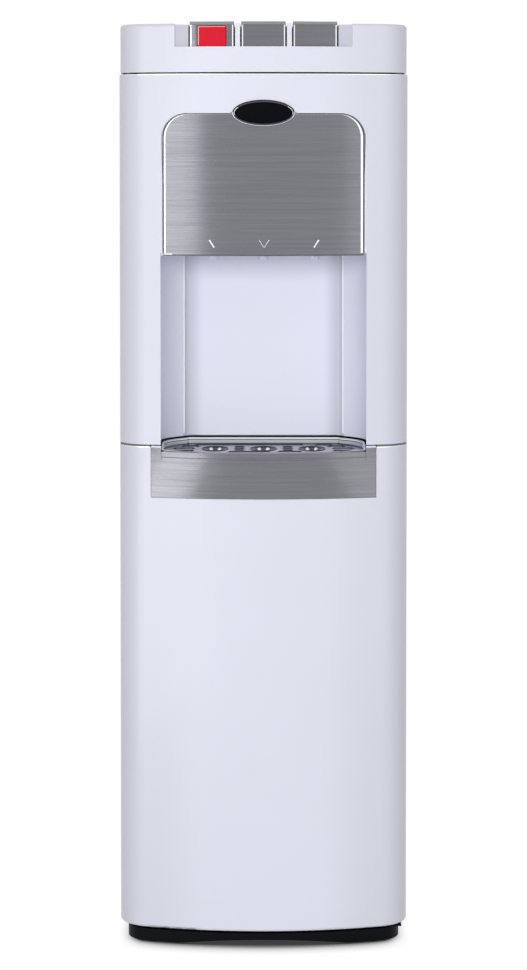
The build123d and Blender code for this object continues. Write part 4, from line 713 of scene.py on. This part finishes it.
# Cup wells and slots of the drip grille: half sizes and places in millimetres from the
# middle of the front; depth counts from the front of the plate.
GRILLE_THICK = 2.9
LIP_RISE, LIP_WIDE = 0.7, 0.7
WELL_HALF_X, WELL_HALF_Y = 14.2, 25.0
WELL_X, WELL_DEEP = 54.0, 52.0
WELLS_X = (-WELL_X, 0, WELL_X)
# Bowl of a well, from its edge down: share of the well's half sizes, height.
WELL_STEPS = ((1.0, 0.0), (0.97, -0.5), (0.86, -1.8), (0.66, -2.6), (0.36, -2.9))
WELL_GAP = 0.05
# white studs in each well, painted highlights: radius, place across, depth, rise
STUD_R, STUD_X, STUD_DEEP, STUD_RISE = 2.6, 4.8, 62.0, 0.5
SLOT_HALF, NARROW = 4.4, 0.8  # half height of a slot, and the share of it that a narrow one has
SLOT_REACH = 6.0              # walls nearer to a slot than this are its own
PLATE_MARGIN = 4.0            # the plate's own rim, which stays silver
OUTLINE_DROP = 1.2            # the plate's outline is read this far under its top
LIP_ROOT = 0.3
# Slots: place across, length, depth.
SIDE_SLOTS = ((89.0, 26.0, 32.0), (89.0, 26.0, 56.0), (82.0, 22.0, 78.0))
MID_SLOTS_X, MID_SLOTS_LENGTH, MID_SLOTS_DEEP = 27.0, 14.0, (38.0, 56.0, 73.0)
FRONT_SLOTS = ((-16.0, 48.0, 20.5), (29.0, 28.0, 23.0))
REAR_SLOTS = ((-16.0, 124.0, 93.0), (68.0, 22.0, 91.0))


def ellipse(cx, cy, rx, ry, count=40):
    """Points round an ellipse, counter-clockwise."""
    return [(cx + rx * math.cos(2 * math.pi * i / count), cy + ry * math.sin(2 * math.pi * i / count))
            for i in range(count)]


def stadium(cx, cy, length, half, count=8):
    """Points round a slot with round ends."""
    reach = length / 2 - half
    right = [(cx + reach + half * math.cos(a), cy + half * math.sin(a))
             for a in [math.pi * (i / count - 0.5) for i in range(count + 1)]]
    left = [(cx - reach - half * math.cos(a), cy - half * math.sin(a))
            for a in [math.pi * (i / count - 0.5) for i in range(count + 1)]]
    return right + left


def outline_of(node, level):
    """Outer edge of a node's vertices at a height, as ordered points; millimetres."""
    obj = NODES[node]
    points = [obj.matrix_world @ vert.co / MM for vert in obj.data.vertices]
    points = [point.xy for point in points if abs(point.z - level) < 0.1]
    return [tuple(points[i]) for i in convex_hull_2d(points)]


def grille_holes(front):
    """Outlines of the wells and of the slots."""
    wells = [ellipse(x, front + WELL_DEEP, WELL_HALF_X, WELL_HALF_Y) for x in WELLS_X]
    slots = []
    for side in (-1, 1):
        slots += [stadium(side * x, front + d, length, SLOT_HALF) for x, length, d in SIDE_SLOTS]
        slots += [stadium(side * MID_SLOTS_X, front + d, MID_SLOTS_LENGTH, SLOT_HALF * NARROW)
                  for d in MID_SLOTS_DEEP]
    slots += [stadium(x, front + d, length, SLOT_HALF * NARROW) for x, length, d in FRONT_SLOTS + REAR_SLOTS]
    return wells, slots


def make_grille():
    """Grille plate with slots and three polished wells, in place of the plain plate."""
    low, high = limits("drip_grille")
    outline = outline_of("drip_grille", high.z - OUTLINE_DROP)
    wells, slots = grille_holes(low.y)
    top = high.z - LIP_RISE
    bm = bmesh.new()
    edges = []
    for loop in [outline] + wells + slots:
        ring = [bm.verts.new((x * MM, y * MM, top * MM)) for x, y in loop]
        edges += [bm.edges.new((ring[i - 1], ring[i])) for i in range(len(ring))]
    bmesh.ops.triangle_fill(bm, use_beauty=True, use_dissolve=False, edges=edges, normal=(0, 0, 1))
    lower = bmesh.ops.extrude_face_region(bm, geom=bm.faces[:])
    moved = [item for item in lower["geom"] if isinstance(item, bmesh.types.BMVert)]
    bmesh.ops.translate(bm, verts=moved, vec=(0, 0, -GRILLE_THICK * MM))
    bmesh.ops.recalc_face_normals(bm, faces=bm.faces[:])
    # Painted shade: slot walls inside the plate's own rim take the black look.
    inside = max(abs(x) for x, y in outline) - PLATE_MARGIN
    holes = [Vector((x, y)) for loop in slots for x, y in loop]
    for face in bm.faces:
        centre = face.calc_center_median() / MM
        near = min((hole - centre.xy).length for hole in holes) < SLOT_REACH
        if abs(face.normal.z) < FACES_UP and near:
            face.material_index = int(abs(centre.x) < inside)
    plate = add_piece("grille_plate", "grille", bm, "grille_silver")
    plate.data.materials.append(MATERIALS["base_black"])
    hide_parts("drip_grille")
    make_wells(low.y, top)
    make_lips(low.y, top)


def make_lips(front, top):
    """Painted shade: low dark lips along the rear of each slot and round each well."""
    bm = bmesh.new()
    root, rise = (top - LIP_ROOT) * MM, (top + LIP_RISE) * MM
    wells, slots = grille_holes(front)
    for loop in slots:
        rear = max(y for x, y in loop)
        ends = [x for x, y in loop]
        x0, x1 = min(ends) + SLOT_HALF / 2, max(ends) - SLOT_HALF / 2
        corners = [(x0, rear), (x1, rear), (x1, rear + LIP_WIDE), (x0, rear + LIP_WIDE)]
        add_prism(bm, [(x * MM, y * MM) for x, y in corners], root, rise)
    for x, inner in zip(WELLS_X, wells):
        outer = ellipse(x, front + WELL_DEEP, WELL_HALF_X + LIP_WIDE, WELL_HALF_Y + LIP_WIDE)
        levels = [[bm.verts.new((px * MM, py * MM, z)) for px, py in loop]
                  for loop, z in ((inner, root), (inner, rise), (outer, rise), (outer, root))]
        for i in range(len(inner)):
            for one, two in zip(levels, levels[1:] + levels[:1]):
                bm.faces.new((one[i - 1], one[i], two[i], two[i - 1]))
    bmesh.ops.recalc_face_normals(bm, faces=bm.faces[:])
    add_piece("grille_lips", "grille", bm, "shade_paint_dark")


def add_prism(bm, corners, low, high):
    """An upright prism on a flat outline; metres."""
    rings = [[bm.verts.new((x, y, z)) for x, y in corners] for z in (low, high)]
    count = len(corners)
    for i in range(count):
        j = (i + 1) % count
        bm.faces.new((rings[0][i], rings[0][j], rings[1][j], rings[1][i]))
    bm.faces.new(rings[0][::-1])
    bm.faces.new(rings[1])


def make_wells(front, top):
    """Polished bowl in each well, in a dark metal as painted shade, with two white studs as painted
    highlights.
    """
    bm = bmesh.new()
    studs = bmesh.new()
    for x in WELLS_X:
        rings = [[bm.verts.new((px * MM, py * MM, (top - WELL_GAP + drop) * MM))
                  for px, py in ellipse(x, front + WELL_DEEP, WELL_HALF_X * k, WELL_HALF_Y * k)]
                 for k, drop in WELL_STEPS]
        for outer, inner in zip(rings, rings[1:]):
            for i in range(len(outer)):
                bm.faces.new((outer[i - 1], outer[i], inner[i], inner[i - 1]))
        bm.faces.new(rings[-1])
        for side in (-1, 1):
            place = Vector((x + side * STUD_X, front + STUD_DEEP, top - STUD_R + STUD_RISE)) * MM
            bmesh.ops.create_uvsphere(studs, u_segments=16, v_segments=10, radius=STUD_R * MM,
                                      matrix=Matrix.Translation(place))
    bmesh.ops.recalc_face_normals(bm, faces=bm.faces[:])
    add_piece("grille_wells", "grille", bm, "well_shade_paint", smooth=True)
    add_piece("grille_studs", "grille", studs, "highlight_paint_white", smooth=True)


# Painted reflections, dark and bright lines on the badge's rim: name, how far inside the outer edge, half
# width, first and last angle in degrees, look.
BADGE_LINES = (
    ("badge_low_black", 1.7, 1.15, 192, 348, "badge_black"),
    ("badge_low_soft", 0.35, 0.3, 204, 336, "highlight_paint_soft"),
    ("badge_low_left", 0.35, 0.32, 176, 203, "highlight_paint_white"),
    ("badge_low_right", 0.35, 0.32, 337, 364, "highlight_paint_white"),
    ("badge_top_dark", 0.4, 0.36, 10, 170, "badge_black"),
    ("badge_left_bright", 1.9, 0.28, 150, 190, "highlight_paint_white"),
    ("badge_right_bright", 1.9, 0.24, -8, 34, "highlight_paint_white"),
)
BADGE_TURNS, BADGE_LIFT, BADGE_STEP = 40, 0.1, 1.2


def make_badge_lines():
    """Painted reflections as dark and bright lines round the badge's rim."""
    low, high = limits("badge_rim")
    skin = Skin("badge_rim")
    middle = (low + high) / 2
    half = (high - low) / 2
    for name, inside, width, first, last, look in BADGE_LINES:
        turns = [math.radians(first + (last - first) * i / BADGE_TURNS) for i in range(BADGE_TURNS + 1)]
        path = [(middle.x + (half.x - inside) * math.cos(a), middle.z + (half.z - inside) * math.sin(a))
                for a in turns]
        drape(name, "cabinet", skin, path, flat(width), flat(width), BADGE_LIFT, look,
              step=BADGE_STEP)


make_panel_trim()
make_badge_lines()
make_grille()
make_seams()
make_creases()
make_lip_line()
make_wing_caps()
make_rim_coat()
make_marks()
make_key_edges()
make_lock_edges()


# ---------------------------------------------------------------- stage
IMAGE_H = 970
FOCAL_PX = 2816.7             # focal length in pixels of the image
SENSOR = 36.0
CAMERA_AHEAD = 3.077          # camera in front of the door, metres
CAMERA_Z = 0.880
TILT = math.radians(2.276)
SHIFT = -0.2287


def make_camera():
    data = bpy.data.cameras.new("camera")
    data.sensor_width = SENSOR
    data.lens = SENSOR * FOCAL_PX / IMAGE_H
    data.shift_y = SHIFT
    camera = bpy.data.objects.new("camera", data)
    bpy.context.scene.collection.objects.link(camera)
    door_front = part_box("door_shell")[0].y
    camera.location = (0, door_front - CAMERA_AHEAD, CAMERA_Z)
    camera.rotation_euler = (math.pi / 2 - TILT, 0, 0)
    bpy.context.scene.camera = camera


FLOOR_REACH = 12.0
SHADOW_REACH = 0.045          # how far the contact shadow spreads
# Painted contact shadow: share of the sky seen, brightness.
SHADOW_STEPS = ((0.20, 0.05), (0.36, 0.20), (0.52, 0.54), (0.68, 0.85), (0.86, 1.0))
SHADOW_HALF, SHADOW_END, SHADOW_SIDE = 0.135, 0.166, 0.0
SHADOW_SAMPLES = 24
FLOOR_DIFFUSE = 0.62


def make_floor():
    """White floor: diffuse for bounced light, white where it is seen, with a contact shadow painted into its
    glow and faded out beside the body.
    """
    mesh = bpy.data.meshes.new("floor")
    r = FLOOR_REACH
    mesh.from_pydata([(-r, -r, 0), (r, -r, 0), (r, r, 0), (-r, r, 0)], [], [(0, 1, 2, 3)])
    floor = bpy.data.objects.new("floor", mesh)
    bpy.context.scene.collection.objects.link(floor)
    material = bpy.data.materials.new("floor")
    tree = Tree(material)
    out = tree.add("ShaderNodeOutputMaterial")
    path = tree.add("ShaderNodeLightPath")
    either = tree.link_max(path.outputs["Is Camera Ray"], path.outputs["Is Glossy Ray"])
    either = tree.link_max(either, path.outputs["Is Transmission Ray"])
    diffuse = tree.add("ShaderNodeBsdfDiffuse")
    diffuse.inputs["Color"].default_value = (FLOOR_DIFFUSE, FLOOR_DIFFUSE, FLOOR_DIFFUSE, 1)
    near = tree.add("ShaderNodeAmbientOcclusion", samples=SHADOW_SAMPLES)
    near.inputs["Distance"].default_value = SHADOW_REACH
    ramp = tree.add("ShaderNodeValToRGB")
    stops = ramp.color_ramp.elements
    for position, level in SHADOW_STEPS:
        stop = stops.new(position)
        stop.color = (level, level, level, 1)
    stops.remove(stops[0])
    stops.remove(stops[-1])
    tree.link(near.outputs["AO"], ramp.inputs["Fac"])
    # the painted shadow is held to the middle and fades out beside the body
    hold = tree.fall(tree.across(), SHADOW_HALF, SHADOW_END, SHADOW_SIDE)
    mixed = tree.add("ShaderNodeMix", data_type="RGBA")
    mixed.inputs["A"].default_value = (1, 1, 1, 1)
    tree.link(hold, mixed.inputs["Factor"])
    tree.link(ramp.outputs["Color"], mixed.inputs["B"])
    glow = tree.add("ShaderNodeEmission")
    glow.inputs["Strength"].default_value = 1.0
    tree.link(mixed.outputs["Result"], glow.inputs["Color"])
    mix = tree.add("ShaderNodeMixShader")
    tree.link(either, mix.inputs[0])
    tree.link(diffuse.outputs[0], mix.inputs[1])
    tree.link(glow.outputs[0], mix.inputs[2])
    tree.link(mix.outputs[0], out.inputs["Surface"])
    floor.data.materials.append(material)


WORLD_DIFFUSE = 0.47


def make_world():
    """White room: full where it is seen or reflected, dimmer where it lights."""
    world = bpy.data.worlds.new("studio")
    bpy.context.scene.world = world
    tree = Tree(world)
    out = tree.add("ShaderNodeOutputWorld")
    path = tree.add("ShaderNodeLightPath")
    either = tree.link_max(path.outputs["Is Camera Ray"], path.outputs["Is Transmission Ray"])
    either = tree.link_max(either, path.outputs["Is Glossy Ray"])
    power = tree.add("ShaderNodeMapRange")
    power.inputs["To Min"].default_value = WORLD_DIFFUSE
    power.inputs["To Max"].default_value = 1.0
    tree.link(either, power.inputs["Value"])
    back = tree.add("ShaderNodeBackground")
    back.inputs["Color"].default_value = (1, 1, 1, 1)
    tree.link(power.outputs[0], back.inputs["Strength"])
    tree.link(back.outputs[0], out.inputs["Surface"])


def make_light(name, place, target, size, power):
    data = bpy.data.lights.new(name, "AREA")
    data.shape = "RECTANGLE"
    data.size, data.size_y = size
    data.energy = power
    light = bpy.data.objects.new(name, data)
    bpy.context.scene.collection.objects.link(light)
    light.location = place
    light.visible_camera = False
    aim = Vector(target) - Vector(place)
    light.rotation_euler = aim.to_track_quat("-Z", "Y").to_euler()
    return light


make_camera()
make_floor()
make_world()
key = make_light("key", (-0.3, -4.2, 1.25), (0, 0, 0.5), (2.0, 1.4), 92)
key.visible_glossy = False
# Narrow lights that only reflections see: name, place, target, size, power, lean in degrees.
STRIPS = (
    ("strip_left", (-1.83, -2.75, 0.75), (-0.09, -0.17, 0.7), (1.6, 3.0), 25, 8),
    ("strip_right", (2.05, -2.6, 0.75), (0.1, -0.15, 0.7), (1.4, 3.0), 6, -4),
    ("strip_tray_left", (-0.90, -1.02, 0.2), (-0.1, -0.17, 0.52), (0.75, 0.4), 1.9, 6),
    ("strip_tray_right", (0.86, -0.98, 0.2), (0.1, -0.17, 0.52), (0.5, 0.4), 0.35, 0),
)
for name, place, target, size, power, lean in STRIPS:
    strip = make_light(name, place, target, size, power)
    strip.visible_diffuse = False
    strip.rotation_euler.rotate_axis("Z", math.radians(lean))
bpy.context.scene.view_settings.view_transform = "Standard"
